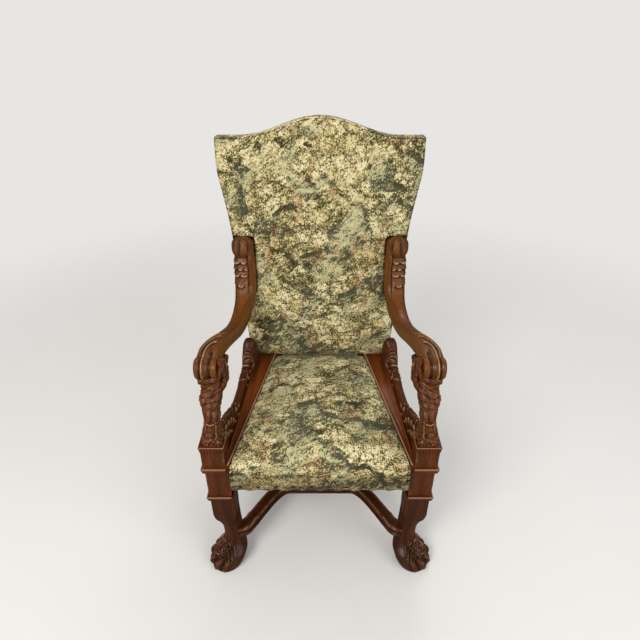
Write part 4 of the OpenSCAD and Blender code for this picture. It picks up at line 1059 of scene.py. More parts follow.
def arm_end_relief(across, face, z, carving):
    """Carving of the arm's end on the back.

    A lobed bulb, a neck, and a pendant of four overlapping tiers with a round tip.
    """
    bulb_z, bulb_half, neck_z, pendant_z, tier_height = 0.855, 0.031, 0.8240, 0.8215, 0.0226
    front = ease(-0.45, 0.25, face)
    bulb = np.sqrt(np.clip(1 - ((z - bulb_z) / bulb_half) ** 2, 0, 1))
    lobes = np.abs(np.cos(np.pi * (across * 1.25 + 0.18 + 4 * (z - bulb_z)))) ** 0.7
    on_bulb = ease(-0.58, -0.40, across)
    tool = 0.0010 * np.cos(across * 23 + z * 700) * np.cos(across * 15 - z * 1000)
    relief = front * on_bulb * bulb * (0.0030 + 1.1 * carving.leaf * (lobes - 0.5) + tool)
    relief = relief - 0.0044 * bump(z, neck_z, 0.0190) * on_bulb * front
    relief = (
        relief
        + 0.0012 * front * (1 - on_bulb) * ease(0.885, 0.870, z) * ease(0.845, 0.855, z)
        * np.cos(across * 60) * np.cos(z * 1900)
    )
    u = (across - 0.34) / 0.70
    taper = np.sqrt(np.clip(1 - (np.clip(0.744 - z, 0, 1) / 0.034) ** 2, 0, 1))
    inside = ease(1.06, 0.94, np.abs(u) / np.maximum(taper, 1e-3)) * ease(0.8235, 0.800, z) * (z > 0.709)
    v = (pendant_z - z) / tier_height
    v = np.where(v < 3, v, 3 + (v - 3) * 0.62)
    tier, fall = np.floor(v), np.mod(v, 1)
    wobble = 0.09 * np.sin(4.0 * v + 5.0 * u)
    lobe = np.abs(np.cos(np.pi * ((u + wobble) * 1.05 + 0.5 * np.mod(tier + 1, 2)))) ** 0.6
    edge = 0.62 + 0.36 * lobe
    swell = np.clip(fall / edge, 0, 1) ** 1.1 * ease(1.04, 0.94, fall / edge)
    knob = 0.16 * np.cos(2 * np.pi * (u * 2.6 + 0.3 * tier)) * np.cos(2 * np.pi * (fall * 1.6 + u))
    pendant = (
        (0.0068 * (swell * (0.50 + 0.50 * lobe) + knob * swell) - 0.0016)
        * (0.45 + 0.55 * np.sqrt(np.clip(1 - u**2, 0, 1)))
    )
    relief = relief + front * inside * pendant
    beside = ease(0.834, 0.818, z) * ease(0.690, 0.715, z)
    return relief - 0.0030 * front * beside * bump(across, -0.40, 0.11)


def arm_skin(plan, carving):
    """The sweep of one arm, from its end on the back to the top of the volute."""
    share = np.concatenate([np.linspace(0, 0.42, 220, endpoint=False), np.linspace(0.42, 1, 190)])
    rows = follow(arm_rows(plan), share)
    dome = np.sqrt(np.clip(1 - (1 - np.clip((rows[0, 2] - rows[:, 2]) / 0.019, 0, 1)) ** 2, 0.0004, 1))
    rows[:, 3:5] *= dome[:, None]
    step = (
        follow(arm_rows(plan), np.clip(share + 0.01, 0, 0.99))
        - follow(arm_rows(plan), np.clip(share - 0.01, 0.01, 1))
    )
    pitch = np.arctan2(step[:, 2], step[:, 1])[:, None]
    across, face = section(132, np.full(len(share), 0.72))
    square_across, square_face = section(132, np.full(len(share), 0.22))
    behind = ease(0.10, -0.20, face) * ease(0.46, 0.40, share)[:, None]
    across, face = mix(across, square_across, behind), mix(face, square_face, behind)
    centre = rows[:, :3]
    thick = rows[:, 4:5] * face
    rings = np.stack([
        centre[:, :1] + rows[:, 3:4] * across,
        centre[:, 1:2] + thick * np.sin(pitch),
        centre[:, 2:3] - thick * np.cos(pitch),
    ], 2)
    z = rings[..., 2]
    s = share[:, None]
    relief = arm_end_relief(across, face, z, carving) * ease(0.45, 0.41, s)
    run = np.clip((s - 0.730) / 0.200, 0, 1.0)
    middle = -0.36
    flow = np.where(
        across > middle, middle + np.hypot(across - middle, 1.26 * (1 - run)), across - 0.5 * (1 - run)
    )
    top = ease(-0.25, 0.30, face)
    fan = (
        ease(1.10, 1.00, flow) * ease(0.722, 0.745, s)
        * np.maximum(ease(middle, middle + 0.14, across), ease(0.86, 0.99, run))
    )
    fine = 0.55 * np.cos(2 * np.pi * (flow - 0.08) / 0.19) * ease(0.02, 0.16, flow) * ease(0.98, 0.70, run)
    broad = mix(0.30, 1.0, ease(0.30, 0.90, run)) * volute_ridges(flow)
    relief = relief + carving.ridge * (broad + fine) * top * fan
    relief = relief - 0.0050 * top * bump(across + 10 * (s - 0.724), 0.20, 0.24) * bump(s, 0.724, 0.020)
    carved = rings + outward(rings) * relief[..., None]
    past_frame = carved[..., 1] - plan.post_front(carved[..., 2])
    carved[..., 1] -= np.clip(past_frame, 0, None) * (z > 0.66) * (s < 0.49)
    return Skin().tube(carved, 0.0, straight(rings, centre), wear=rubbed_and_highlit(relief, 190))


def drum(skin, plan, carving):
    """The volute: a drum round the X axis, ridged on its rim, with a spiral and an eye on each cheek."""
    radius, e = plan.drum_radius, plan.sizes.volute_width / 2
    turn = np.linspace(0, 2 * np.pi, 200, endpoint=False)[None]
    outline = np.array([
        [-1.0, 0.02], [-1.0, 0.20], [-0.93, 0.27], [-0.80, 0.33], [-0.80, 0.52], [-0.93, 0.64],
        [-0.985, 0.80], [-0.93, 0.93], [-0.80, 0.99], [-0.40, 1.0], [0.0, 1.0], [0.40, 1.0], [0.80, 0.99],
        [0.93, 0.93], [0.985, 0.80], [0.93, 0.64], [0.80, 0.52], [0.80, 0.33], [0.93, 0.27], [1.0, 0.20],
        [1.0, 0.02],
    ])
    rows = follow(outline, np.linspace(0, 1, 150))
    x, r = rows[:, :1] * e, rows[:, 1:2] * radius
    rings = np.stack([
        plan.drum[0] + x + 0 * turn, plan.drum[1] + r * np.sin(turn), plan.drum[2] + r * np.cos(turn),
    ], 2)
    rim = ease(0.86, 0.97, rows[:, 1:2])
    cheek = 1 - rim
    spiral = np.cos(2 * np.pi * (rows[:, 1:2] * 2.3) + turn * np.where(x > 0, 1, -1))
    relief = (
        carving.ridge * volute_ridges(rows[:, :1]) * rim
        + 0.0015 * spiral * cheek * ease(0.26, 0.40, rows[:, 1:2])
    )
    skin.tube(rings, relief, np.stack([rings[..., 0], rings[..., 1] * 0, turn * radius + 0 * x], 2), gain=150)


class ARMCHAIR_OT_arms(ArmchairOperator, bpy.types.Operator):
    """Builds the arms with their carved ends and volutes"""

    bl_idname = "armchair.arms"
    bl_label = "Arms"

    def make(self, context, plan, known):
        """The swept arm and the drum of its volute are one skin, mirrored for the other side."""
        carving = context.scene.armchair_carving
        skin = arm_skin(plan, carving)
        drum(skin, plan, carving)
        build_pair(skin, "arm_carved_", "arm_", known["walnut_waxed"], "walnut_show")


def support_rows():
    """The support from the cap up.

    Each row is share of the height, of the way across and back, width, half depth and squareness.
    """
    return [
        [0.00, 0, 0, 0.50, 0.0270, 0.50], [0.06, 0, 0, 0.50, 0.0270, 0.54],
        [0.12, 0, -0.01, 0.45, 0.0248, 0.70], [0.22, 0, -0.04, 0.43, 0.0254, 0.80],
        [0.32, 0.20, -0.03, 0.39, 0.0232, 0.86], [0.42, 0.50, 0.01, 0.35, 0.0200, 0.90],
        [0.50, 0.46, 0.06, 0.38, 0.0216, 0.90], [0.60, 0.18, 0.18, 0.46, 0.0248, 0.90],
        [0.70, 0.12, 0.33, 0.50, 0.0281, 0.88], [0.80, 0.38, 0.54, 0.50, 0.0300, 0.84],
        [0.90, 0.76, 0.80, 0.50, 0.0289, 0.74], [1.00, 1.00, 1.00, 0.50, 0.0259, 0.60]
    ]


def support_relief(t, angle, z, carving):
    """Carving of the support from foot to head.

    Foot leaves, a C-scroll with a rosette, waist flutes, feathers on the bulge and a leaf on the side.
    """
    scroll_z, scroll_turn, shaft_radius = 0.543, np.radians(-84), 0.0235
    lift, side = z - scroll_z, (angle - scroll_turn) * shaft_radius
    r = np.hypot(side, lift)
    petal = np.arctan2(lift, side)
    out = np.where(lift > 0.008, np.abs(side), r)
    scroll = (bump(out, 0.0195, 0.0056) + 0.7 * bump(out, 0.0120, 0.0036)) * ease(0.034, 0.026, lift)
    scroll = scroll + bump(lift - 0.26 * np.abs(side), 0.0300, 0.0055) * ease(0.0250, 0.0210, np.abs(side))
    rosette = (
        ease(0.0100, 0.0080, r) * (0.55 + 0.45 * np.abs(np.cos(3 * petal)) * ease(0.0, 0.005, r))
        + 0.5 * ease(0.0034, 0.0022, r)
    )
    cup = ease(0.0255, 0.0215, out) * ease(0.041, 0.036, lift)
    relief = 0.0058 * scroll + 0.0056 * rosette - 0.0026 * cup
    foot = leaf(np.mod(angle * 5 / (2 * np.pi) + 0.25, 1) * 2 - 1, 1 - np.clip(t / 0.17, 0, 1) * 0.98, 2)
    relief = relief + 1.3 * carving.leaf * (foot - 0.3) * ease(0.17, 0.10, t) * (1 - cup)
    around = 1 - cup
    flutes = np.abs(np.cos(3.5 * angle + 9 * t)) ** 0.6
    relief = relief + 0.0066 * (flutes - 0.5) * bump(t, 0.46, 0.17) * around
    slant = np.mod(angle * 4 / (2 * np.pi) + (t - 0.5) * 4.6 + 0.9 * (t - 0.5) ** 2, 1)
    along = t * 15 - 0.8 * slant + 0.35 * angle
    feather = (
        np.sin(np.pi * slant) ** 0.6 * (0.34 + 0.66 * np.abs(np.sin(np.pi * along)) ** 0.5)
        + 0.12 * np.cos(6 * np.pi * slant + 2 * np.pi * along)
    )
    relief = relief + 1.25 * carving.leaf * (feather - 0.45) * ease(0.55, 0.62, t) * ease(0.99, 0.90, t)
    side_leaf = acanthus(np.sin((angle - np.radians(150)) * 1.3), t * 2.6, 4)
    relief = (
        relief
        + carving.leaf * (side_leaf - 0.4) * ease(0.9, 0.3, np.abs(angle - np.radians(150)) / 1.2)
        * ease(0.56, 0.50, t) * around
    )
    return relief - 0.0016 * bump(t, 0.578, 0.020)


def blade(skin, path, half_w, half_t, across, lobes, lift=0.0022):
    """A carved leaf blade: a flat tube along a path, scalloped at its edges, with a midrib and side veins."""
    s = np.linspace(0, 1, 90)
    centre = follow(path, s)
    tangent = np.gradient(centre, axis=0)
    tangent /= np.linalg.norm(tangent, axis=1, keepdims=True)
    wide = np.asarray(across, float)[None] - tangent * (tangent @ np.asarray(across, float))[:, None]
    wide /= np.linalg.norm(wide, axis=1, keepdims=True)
    thick = np.cross(tangent, wide)
    u, f = section(56, np.full(len(s), 0.9))
    scallop = 0.80 + 0.20 * np.abs(np.cos(np.pi * lobes * s))[:, None]
    body = np.interp(s, *zip(*half_w))[:, None] * scallop
    depth = np.interp(s, *zip(*half_t))[:, None]
    rings = centre[:, None] + wide[:, None] * (u * body)[..., None] + thick[:, None] * (f * depth)[..., None]
    veins = (
        np.cos(2 * np.pi * (lobes * s[:, None] - 1.2 * np.abs(u))) * 0.5 + 1.2 * np.exp(-((u / 0.12) ** 2))
    )
    relief = lift * 0.4 * veins * np.abs(f) * ease(0, 0.06, s)[:, None]
    skin.tube(rings, relief, straight(rings, centre), gain=300, blur=14)


class ARMCHAIR_OT_arm_supports(ArmchairOperator, bpy.types.Operator):
    """Builds the carved consoles between the blocks and the arms"""

    bl_idname = "armchair.arm_supports"
    bl_label = "Arm supports"

    def make(self, context, plan, known):
        """Rounded squares on a line from the block to the volute, moved out by the relief.

        Points deep in the volute's drum are pushed out to 2 mm below its surface.
        """
        carving = context.scene.armchair_carving
        foot_x = plan.block_x + plan.sizes.block_step
        head_x = mix(plan.pad_x, plan.volute[0], 0.75) - 0.005
        head_y = plan.block_y + 0.124
        crown = plan.volute[2] + plan.sizes.volute_radius - ARM_HALF_THICK
        land = mix(ARM_DIP, crown, 0.91) - ARM_HALF_THICK + 0.004
        rows = follow(support_rows(), np.linspace(0, 1, 260))
        t = np.clip(rows[:, :1], 0, 1)
        foot_w, waist_w, head_w, waist = 0.056, 0.0555, 0.060, 0.45
        below, above = ease(0, waist, t), ease(waist, 0.75, t)
        width = np.where(t < waist, mix(foot_w, waist_w, below), mix(waist_w, head_w, above))
        u, f = section(150, rows[:, 5])
        centre_x = mix(foot_x, head_x, np.clip(rows[:, 1:2], 0, 1))
        centre_y = mix(plan.block_y, head_y, rows[:, 2:3])
        z = mix(plan.cap_top, land, t)
        rings = np.stack([centre_x + width * rows[:, 3:4] * u, centre_y + rows[:, 4:5] * f, z + 0 * u], 2)
        angle = np.arctan2(f, u)
        relief = support_relief(t, angle, z, carving) * ease(0, 0.02, t)
        carved = rings + outward(rings) * relief[..., None]
        gap = carved - plan.drum
        away = np.hypot(gap[..., 1], gap[..., 2])
        limit = plan.drum_radius - 0.002
        push = np.clip(limit - away, 0, None) / np.maximum(away, 1e-4)
        carved[..., 1] += gap[..., 1] * push
        carved[..., 2] += gap[..., 2] * push
        skin = Skin().tube(carved, 0.0, straight(rings, rings.mean(1)), wear=rubbed_and_highlit(relief, 170))
        under = plan.drum + [
            [0.024, -0.019, -0.031], [0.014, -0.016, -0.031], [-0.010, -0.016, -0.031],
            [-0.029, -0.017, -0.022], [-0.038, -0.012, -0.003], [-0.040, 0.002, 0.010],
        ]
        half_w = [(0, 0.008), (0.12, 0.0115), (0.4, 0.0085), (0.75, 0.0095), (1, 0.005)]
        half_t = [(0, 0.008), (0.12, 0.0100), (0.35, 0.0065), (1, 0.005)]
        blade(skin, under, half_w, half_t, across=(0, -0.616, -0.788), lobes=6, lift=0.0036)
        knob = plan.drum + [[-0.035, 0.010, 0.022], [-0.038, 0.002, 0.016], [-0.038, -0.006, 0.006]]
        half_w, half_t = [(0, 0.006), (0.5, 0.011), (1, 0.005)], [(0, 0.006), (0.5, 0.0105), (1, 0.005)]
        blade(skin, knob, half_w, half_t, across=(1, 0, 0), lobes=1)
        wing = plan.drum + [
            [-0.034, 0.020, 0.014], [-0.041, 0.021, -0.010], [-0.044, 0.018, -0.036],
            [-0.038, 0.008, -0.060], [-0.026, -0.006, -0.082],
        ]
        half_w = [(0, 0.012), (0.35, 0.028), (0.7, 0.024), (1, 0.008)]
        half_t = [(0, 0.009), (0.6, 0.0095), (1, 0.006)]
        blade(skin, wing, half_w, half_t, across=(0, 1, 0.1), lobes=5, lift=0.0046)
        build_pair(skin, "support_carved_", "arm_support_", known["walnut_support"], "walnut_show")


def scroll_rows():
    """The side scroll from the block to the post: share of the way, of the height and of the width."""
    return [
        [0, 0.92, 0.86], [0.10, 0.90, 0.80], [0.22, 0.62, 0.90], [0.34, 0.34, 0.96], [0.50, 0.29, 1.00],
        [0.62, 0.34, 1.12], [0.70, 0.44, 1.16], [0.78, 0.52, 1.04], [0.84, 0.86, 1.62], [0.885, 1.06, 1.86],
        [0.925, 0.98, 1.74], [0.94, 0.08, 0.96], [1.00, 0.06, 0.90]
    ]


class ARMCHAIR_OT_side_boards(ArmchairOperator, bpy.types.Operator):
    """Builds the boards beside the seat fabric and the carved side scrolls"""

    bl_idname = "armchair.side_boards"
    bl_label = "Side boards and scrolls"

    def make(self, context, plan, known):
        """The scroll is rings as high and wide as its rows say; its leaves fan out from two roots."""
        carving = context.scene.armchair_carving
        y0, y1 = plan.block_back + 0.003, plan.post_y - 0.004
        rows = follow(
            scroll_rows(),
            np.concatenate([np.linspace(0, 0.60, 150, endpoint=False), np.linspace(0.60, 1, 190)])
        )
        share = np.clip(rows[:, :1], 0, 1)
        y = mix(y0, y1, share)
        h = mix(0.009, 0.108, rows[:, 1:2])
        w = 0.015 * rows[:, 2:3]
        head = bump(share, 0.885, 0.055)
        u, f = section(110, mix(0.74, 0.50, head))
        rise = np.maximum(f, 0) * h
        x = plan.rail_half(y) - 0.015 - 0.0045 * head + u * w
        rings = np.stack([x, y + 0 * u, plan.rail_top + rise], 2)
        up = ease(0.05, 0.35, f)
        relief = up * head * 0.0016 * (np.abs(np.cos(2.2 * np.pi * u)) ** 0.7 - 0.5)
        relief = relief + up * 0.0022 * bump(share, 0.815, 0.04) * np.cos(2 * np.pi * share * 66)
        height = np.clip(f, 0, 1) * rows[:, 1:2]
        for root, reach, tiers, lobes in ((0.0, 0.37, 4.6, 3.4), (0.815, -0.225, 3.6, 2.6)):
            run = (share - root) / reach
            far, fan = np.hypot(run, 0.80 * height), np.arctan2(0.80 * height, np.clip(run, 1e-4, None))
            sprays = scales(fan * lobes + 0.25 * u, far * tiers) + 0.12 * np.cos(2 * np.pi * fan * lobes * 3)
            relief = (
                relief
                + 1.15 * up * carving.leaf * (sprays - 0.45) * ease(1.04, 0.94, run)
                * ease(-0.02, 0.03, run)
            )
        relief = relief - up * 0.0016 * bump(u, 0.0, 0.16) * ease(0.31, 0.36, share) * ease(0.60, 0.56, share)
        grain = np.stack([u * w, rise, y - y0 + 0 * u], 2)
        scroll = Skin().tube(rings, relief, grain, gain=230)
        board = self.board(plan)
        for name, side in SIDES:
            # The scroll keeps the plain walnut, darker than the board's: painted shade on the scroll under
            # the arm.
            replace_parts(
                scroll.build("side_scroll_carved_" + name, known["walnut_carved"], "walnut_show", side),
                "side_scroll_" + name
            )
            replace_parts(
                board.build("side_board_" + name, known["walnut_board"], "walnut_show", side, sharp=40),
                "seat_border_" + name
            )

    def board(self, plan):
        """The board beside the fabric, from front to back.

        A bead along the fabric, a quirk, then a slightly hollowed face out to the scroll.
        """
        gap = 0.0023
        y = np.concatenate([
            np.linspace(plan.block_front + 0.002, plan.block_back - 0.0004, 16),
            np.linspace(plan.block_back + 0.0004, plan.post_y, 110),
        ])[:, None]
        inner = plan.fabric_half(y) + gap
        outer = np.where(y < plan.block_back, plan.block_in - 0.0003, plan.rail_half(y) - 0.032)
        bead = np.linspace(0, np.pi, 13)[None]
        bead_w, quirk, thick = 0.0058, 0.001, 0.012
        top_bead_x = bead_w / 2 * (1 - np.cos(bead))
        top_bead_z = 0.0026 * np.sin(bead)
        flat = np.linspace(0, 1, 24)[None]
        flat_x = inner + bead_w + quirk + (outer - inner - bead_w - quirk) * flat
        flat_z = -0.0008 - 0.0014 * np.sin(np.pi * flat) + 0 * inner
        x = np.concatenate([inner + top_bead_x, flat_x, outer, inner], 1)
        below = 0 * inner - thick
        z = plan.seat + np.concatenate([top_bead_z + 0 * inner, flat_z, below, below], 1)
        rings = np.stack([x, y + 0 * x, z], 2)
        # The bead is pale along its crown, rubbed and painted highlight where it catches the light; the quirk
        # beside it is dark.
        wear = np.concatenate([
            0.62 + 0.36 * np.sin(bead),
            np.concatenate([[[0.05]], 0.5 + 0 * flat[:, 1:]], 1),
            [[0.5, 0.5]],
        ], 1)
        return Skin().tube(rings, 0.0, rings[..., [0, 2, 1]], wear=np.broadcast_to(wear, x.shape))


def bar_profile():
    """Section of a stretcher, in shares of half its width and of its height.

    A flat top between two beads, a hollow side and a round lower bead.
    """
    right = [
        [0.0, 1.0], [0.42, 1.0], [0.50, 0.965], [0.56, 1.0], [0.74, 1.02], [0.92, 0.98], [0.98, 0.90],
        [0.92, 0.82], [0.80, 0.78], [0.66, 0.68], [0.60, 0.55], [0.64, 0.42], [0.78, 0.34], [0.90, 0.32],
        [1.0, 0.25], [1.0, 0.14], [0.92, 0.04], [0.80, 0.0], [0.40, 0.0]
    ]
    left = [[-x, z] for x, z in right[:0:-1]]
    rows = np.array(right + [[0.0, 0.0]] + left)
    closed = np.concatenate([rows[-1:], rows, rows[:2]])
    count = len(rows)
    share = (1 + np.linspace(0, count, count * 5, endpoint=False)) / (count + 2)
    return follow(closed, share)


class ARMCHAIR_OT_stretchers(ArmchairOperator, bpy.types.Operator):
    """Builds the bowed stretchers and their link with a moulded section and leaf collars"""

    bl_idname = "armchair.stretchers"
    bl_label = "Stretchers"

    def make(self, context, plan, known):
        """Each bar is the moulded section carried along a bow, a power of a sine of the way in."""
        profile = bar_profile()
        low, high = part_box("stretcher_front")
        end, bow = high.x, 0.168
        front_y, rear_bow, thin = plan.block_y - 0.006, -0.8 * bow, 0.031
        rear_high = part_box("stretcher_rear")[1]
        rear_end = rear_high.x - 0.022
        rear_y = rear_high.y - 0.0155
        for name, node, half, y0, bend, width, collars in (
            ("stretcher_moulded_front", "stretcher_front", end, front_y, bow, 0.040, True),
            ("stretcher_moulded_rear", "stretcher_rear", rear_end, rear_y, rear_bow, thin, False),
        ):
            x = np.linspace(-half, half, 240)
            t = np.clip((half - 0.016 - np.abs(x)) / (half - 0.016), 0, None)
            y = y0 + bend * np.sin(np.pi / 2 * np.minimum(1, t / 0.58)) ** 1.3
            self.bar(name, node, np.stack([x, y], 1), width, low.z, profile, known, collars)
        y = np.linspace(front_y + bow + 0.017, rear_y + rear_bow - 0.012, 60)
        path = np.stack([0 * y, y], 1)
        self.bar("stretcher_moulded_link", "stretcher_link", path, thin, low.z, profile, known, False)

    def bar(self, name, node, path, width, floor, profile, known, collars):
        """The profile carried along a level path and kept square to it, with or without leaf collars."""
        tangent = np.gradient(path, axis=0)
        tangent /= np.linalg.norm(tangent, axis=1, keepdims=True)
        normal = np.stack([-tangent[:, 1], tangent[:, 0]], 1)
        across = profile[None, :, 0] * width / 2
        plan_xy = path[:, None] + normal[:, None] * across[..., None]
        tall = 0.032
        z = floor + tall * profile[None, :, 1] + 0 * across
        rings = np.concatenate([plan_xy, np.broadcast_to(z, plan_xy.shape[:2])[..., None]], 2)
        relief = np.zeros(rings.shape[:2])
        if collars:
            inset = (np.abs(path[:, :1]) - (np.abs(path[0, 0]) - 0.052)) / 0.030
            collar = ease(0.0, 0.25, inset) * ease(1.25, 1.1, inset)
            veins = np.cos(2 * np.pi * (profile[None, :, 0] * 2.0 + inset * 1.2))
            relief = collar * (0.0012 + 0.0010 * veins)
        way = np.concatenate([[0], np.cumsum(np.linalg.norm(np.diff(path, axis=0), axis=1))])[:, None]
        grain = np.stack([across + 0 * way, z + 0 * way, way + 0 * across], 2)
        # The beads along the top and bottom are paler, partly rubbing and partly painted highlight; the
        # hollow side is darker.
        out, up = np.abs(profile[:, 0]), profile[:, 1]
        edge = bump(up, 1.0, 0.10) * (out > 0.6) + bump(up, 0.16, 0.20) * (out > 0.85)
        hollow = bump(up, 0.56, 0.26) * (out > 0.5)
        wear = np.clip(0.5 + 0.34 * edge - 0.30 * hollow, 0, 1)[None] + 160 * (relief - soften(relief, 20))
        skin = Skin().tube(rings, relief, grain, wear=np.clip(wear, 0, 1))
        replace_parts(skin.build(name, known["walnut_leg"], "walnut"), node)


# Upholstery


def cloth_coordinates(piece, plan, seat):
    """Stores each point's place on the flat cloth.

    Across, and along the cover as it rolls over the front or round the edges.
    """
    mesh = piece.data
    co = np.empty(len(mesh.vertices) * 3, np.float32)
    mesh.vertices.foreach_get("co", co)
    x, y, z = co.reshape(-1, 3).astype(float).T
    if seat:
        fall = np.clip(plan.seat + 0.012 - z, 0, None) * ease(plan.block_front + 0.030, plan.block_front, y)
        cloth = np.stack([x, y - fall, 0 * x], 1)
    else:
        behind = np.clip(y - plan.post_front(z) + 0.006, 0, None)
        side = ease(0.020, 0.006, plan.back_half(z) - np.abs(x))
        over = ease(0.020, 0.006, plan.crest(x) - z)
        cloth = np.stack([x + np.sign(x) * behind * side, z + behind * over * (1 - side), 0.3 + 0 * x], 1)
    if "cloth" not in mesh.attributes:
        mesh.attributes.new("cloth", "FLOAT_VECTOR", "POINT")
    mesh.attributes["cloth"].data.foreach_set("vector", cloth.astype(np.float32).ravel())


def dress_padding(piece, plan, known, seat):
    """Gives a stuffed piece its place on the cloth and the tapestry."""
    cloth_coordinates(piece, plan, seat)
    piece.data.shade_smooth()
    piece.data.materials.clear()
    piece.data.materials.append(known["tapestry_verdure"])
    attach(piece, "root")


def apply_modifiers(piece):
    """Replaces the piece's mesh by its evaluated one."""
    depsgraph = bpy.context.evaluated_depsgraph_get()
    mesh = bpy.data.meshes.new_from_object(piece.evaluated_get(depsgraph))
    piece.modifiers.clear()
    piece.data = mesh


def padded_form(name, rings, voxel, held, cap, pressure, cuts=()):
    """A stuffed form: a closed surface swelled as cloth where held lets it.

    It is remeshed first, its swelling is capped, and it is subdivided once.
    """
    piece = bpy.data.objects.new(name, Skin().tube(rings).mesh(name))
    bpy.context.scene.collection.objects.link(piece)
    for low, high in cuts:
        cut_box(piece, low, high)
    remesh = piece.modifiers.new("even", "REMESH")
    remesh.mode, remesh.voxel_size = "VOXEL", voxel
    relax = piece.modifiers.new("relax", "SMOOTH")
    relax.factor, relax.iterations = 0.5, 5
    apply_modifiers(piece)
    swell(piece, held, cap, pressure)
    smooth = piece.modifiers.new("smooth", "SUBSURF")
    smooth.levels = smooth.render_levels = 1
    apply_modifiers(piece)
    return piece


def cut_box(piece, low, high):
    """Takes a box out of a closed mesh."""
    corners = np.array(
        [[x, y, z] for x in (low[0], high[0]) for y in (low[1], high[1]) for z in (low[2], high[2])]
    )
    faces = [(0, 1, 3, 2), (4, 6, 7, 5), (0, 4, 5, 1), (2, 3, 7, 6), (0, 2, 6, 4), (1, 5, 7, 3)]
    mesh = bpy.data.meshes.new("cut")
    mesh.from_pydata(corners.tolist(), [], faces)
    box = bpy.data.objects.new("cut", mesh)
    bpy.context.scene.collection.objects.link(box)
    cut = piece.modifiers.new("cut", "BOOLEAN")
    cut.operation, cut.solver, cut.object = "DIFFERENCE", "EXACT", box
    apply_modifiers(piece)
    bpy.data.objects.remove(box)


def points_of(mesh):
    """The vertices of a mesh as rows of X, Y and Z."""
    co = np.empty(len(mesh.vertices) * 3, np.float32)
    mesh.vertices.foreach_get("co", co)
    return co.reshape(-1, 3).astype(float)


def swell(piece, held, cap, pressure):
    """Cloth simulation with air pressure and no gravity.

    Held gives how firmly each point stays, and cap the most that it may move.
    """
    start = points_of(piece.data)
    weight = np.clip(held(start), 0, 1)
    group = piece.vertex_groups.new(name="held")
    levels = np.round(weight * 20).astype(int)
    for level in np.unique(levels):
        group.add(np.nonzero(levels == level)[0].tolist(), float(level) / 20, "REPLACE")
    cloth = piece.modifiers.new("swell", "CLOTH")
    settings = cloth.settings
    settings.use_pressure, settings.uniform_pressure_force = True, pressure
    settings.vertex_group_mass = "held"
    settings.tension_stiffness = settings.compression_stiffness = 12
    settings.effector_weights.gravity = 0
    settings.quality = 4
    scene = bpy.context.scene
    for number in range(1, 21):
        scene.frame_set(number)
    depsgraph = bpy.context.evaluated_depsgraph_get()
    result = bpy.data.meshes.new_from_object(piece.evaluated_get(depsgraph))
    piece.modifiers.clear()
    piece.vertex_groups.clear()
    moved = points_of(result) - start
    far = np.linalg.norm(moved, axis=1, keepdims=True)
    capped = start + moved * np.minimum(1, cap / np.maximum(far, 1e-9)) * (1 - weight[:, None])
    piece.data.vertices.foreach_set("co", capped.astype(np.float32).ravel())
    piece.data.update()
    scene.frame_set(1)


def seat_side(plan):
    """Side views of the seat's top and underside, from the rear edge round to the hem.

    Each row is depth, height and share of the crown.
    """
    roll, stuff, hem = plan.block_front + 0.003, plan.rail_top + 0.0042, plan.rail_low - 0.012
    out = 0.020
    shared = [plan.post_y - back for back in (0.008, 0.026, 0.070)]
    shared += [mix(roll, plan.post_y, 0.50), mix(roll, plan.post_y, 0.24), roll + 0.030]
    rises = ((0.007, 0), (0.011, 0.10), (0.015, 0.50), (0.016, 0.85), (0.017, 0.86), (0.016, 0.66))
    top = [[y, stuff + rise, crown] for y, (rise, crown) in zip(shared, rises)]
    top += [
        [roll + 0.001, stuff + 0.010, 0.42],
        [roll - out * 0.80, stuff - 0.005, 0.16],
        [roll - out - 0.002, mix(hem, stuff, 0.62), 0],
        [roll - out * 0.86 - 0.002, mix(hem, stuff, 0.30), 0],
        [roll - out * 0.42 - 0.002, hem, 0],
    ]
    falls = (stuff - 0.008, mix(hem, stuff, 0.62), mix(hem, stuff, 0.30), hem)
    under = [[y, stuff, 0] for y in (*shared, roll + 0.003)] + [[roll - 0.0005, z, 0] for z in falls]
    return top, under


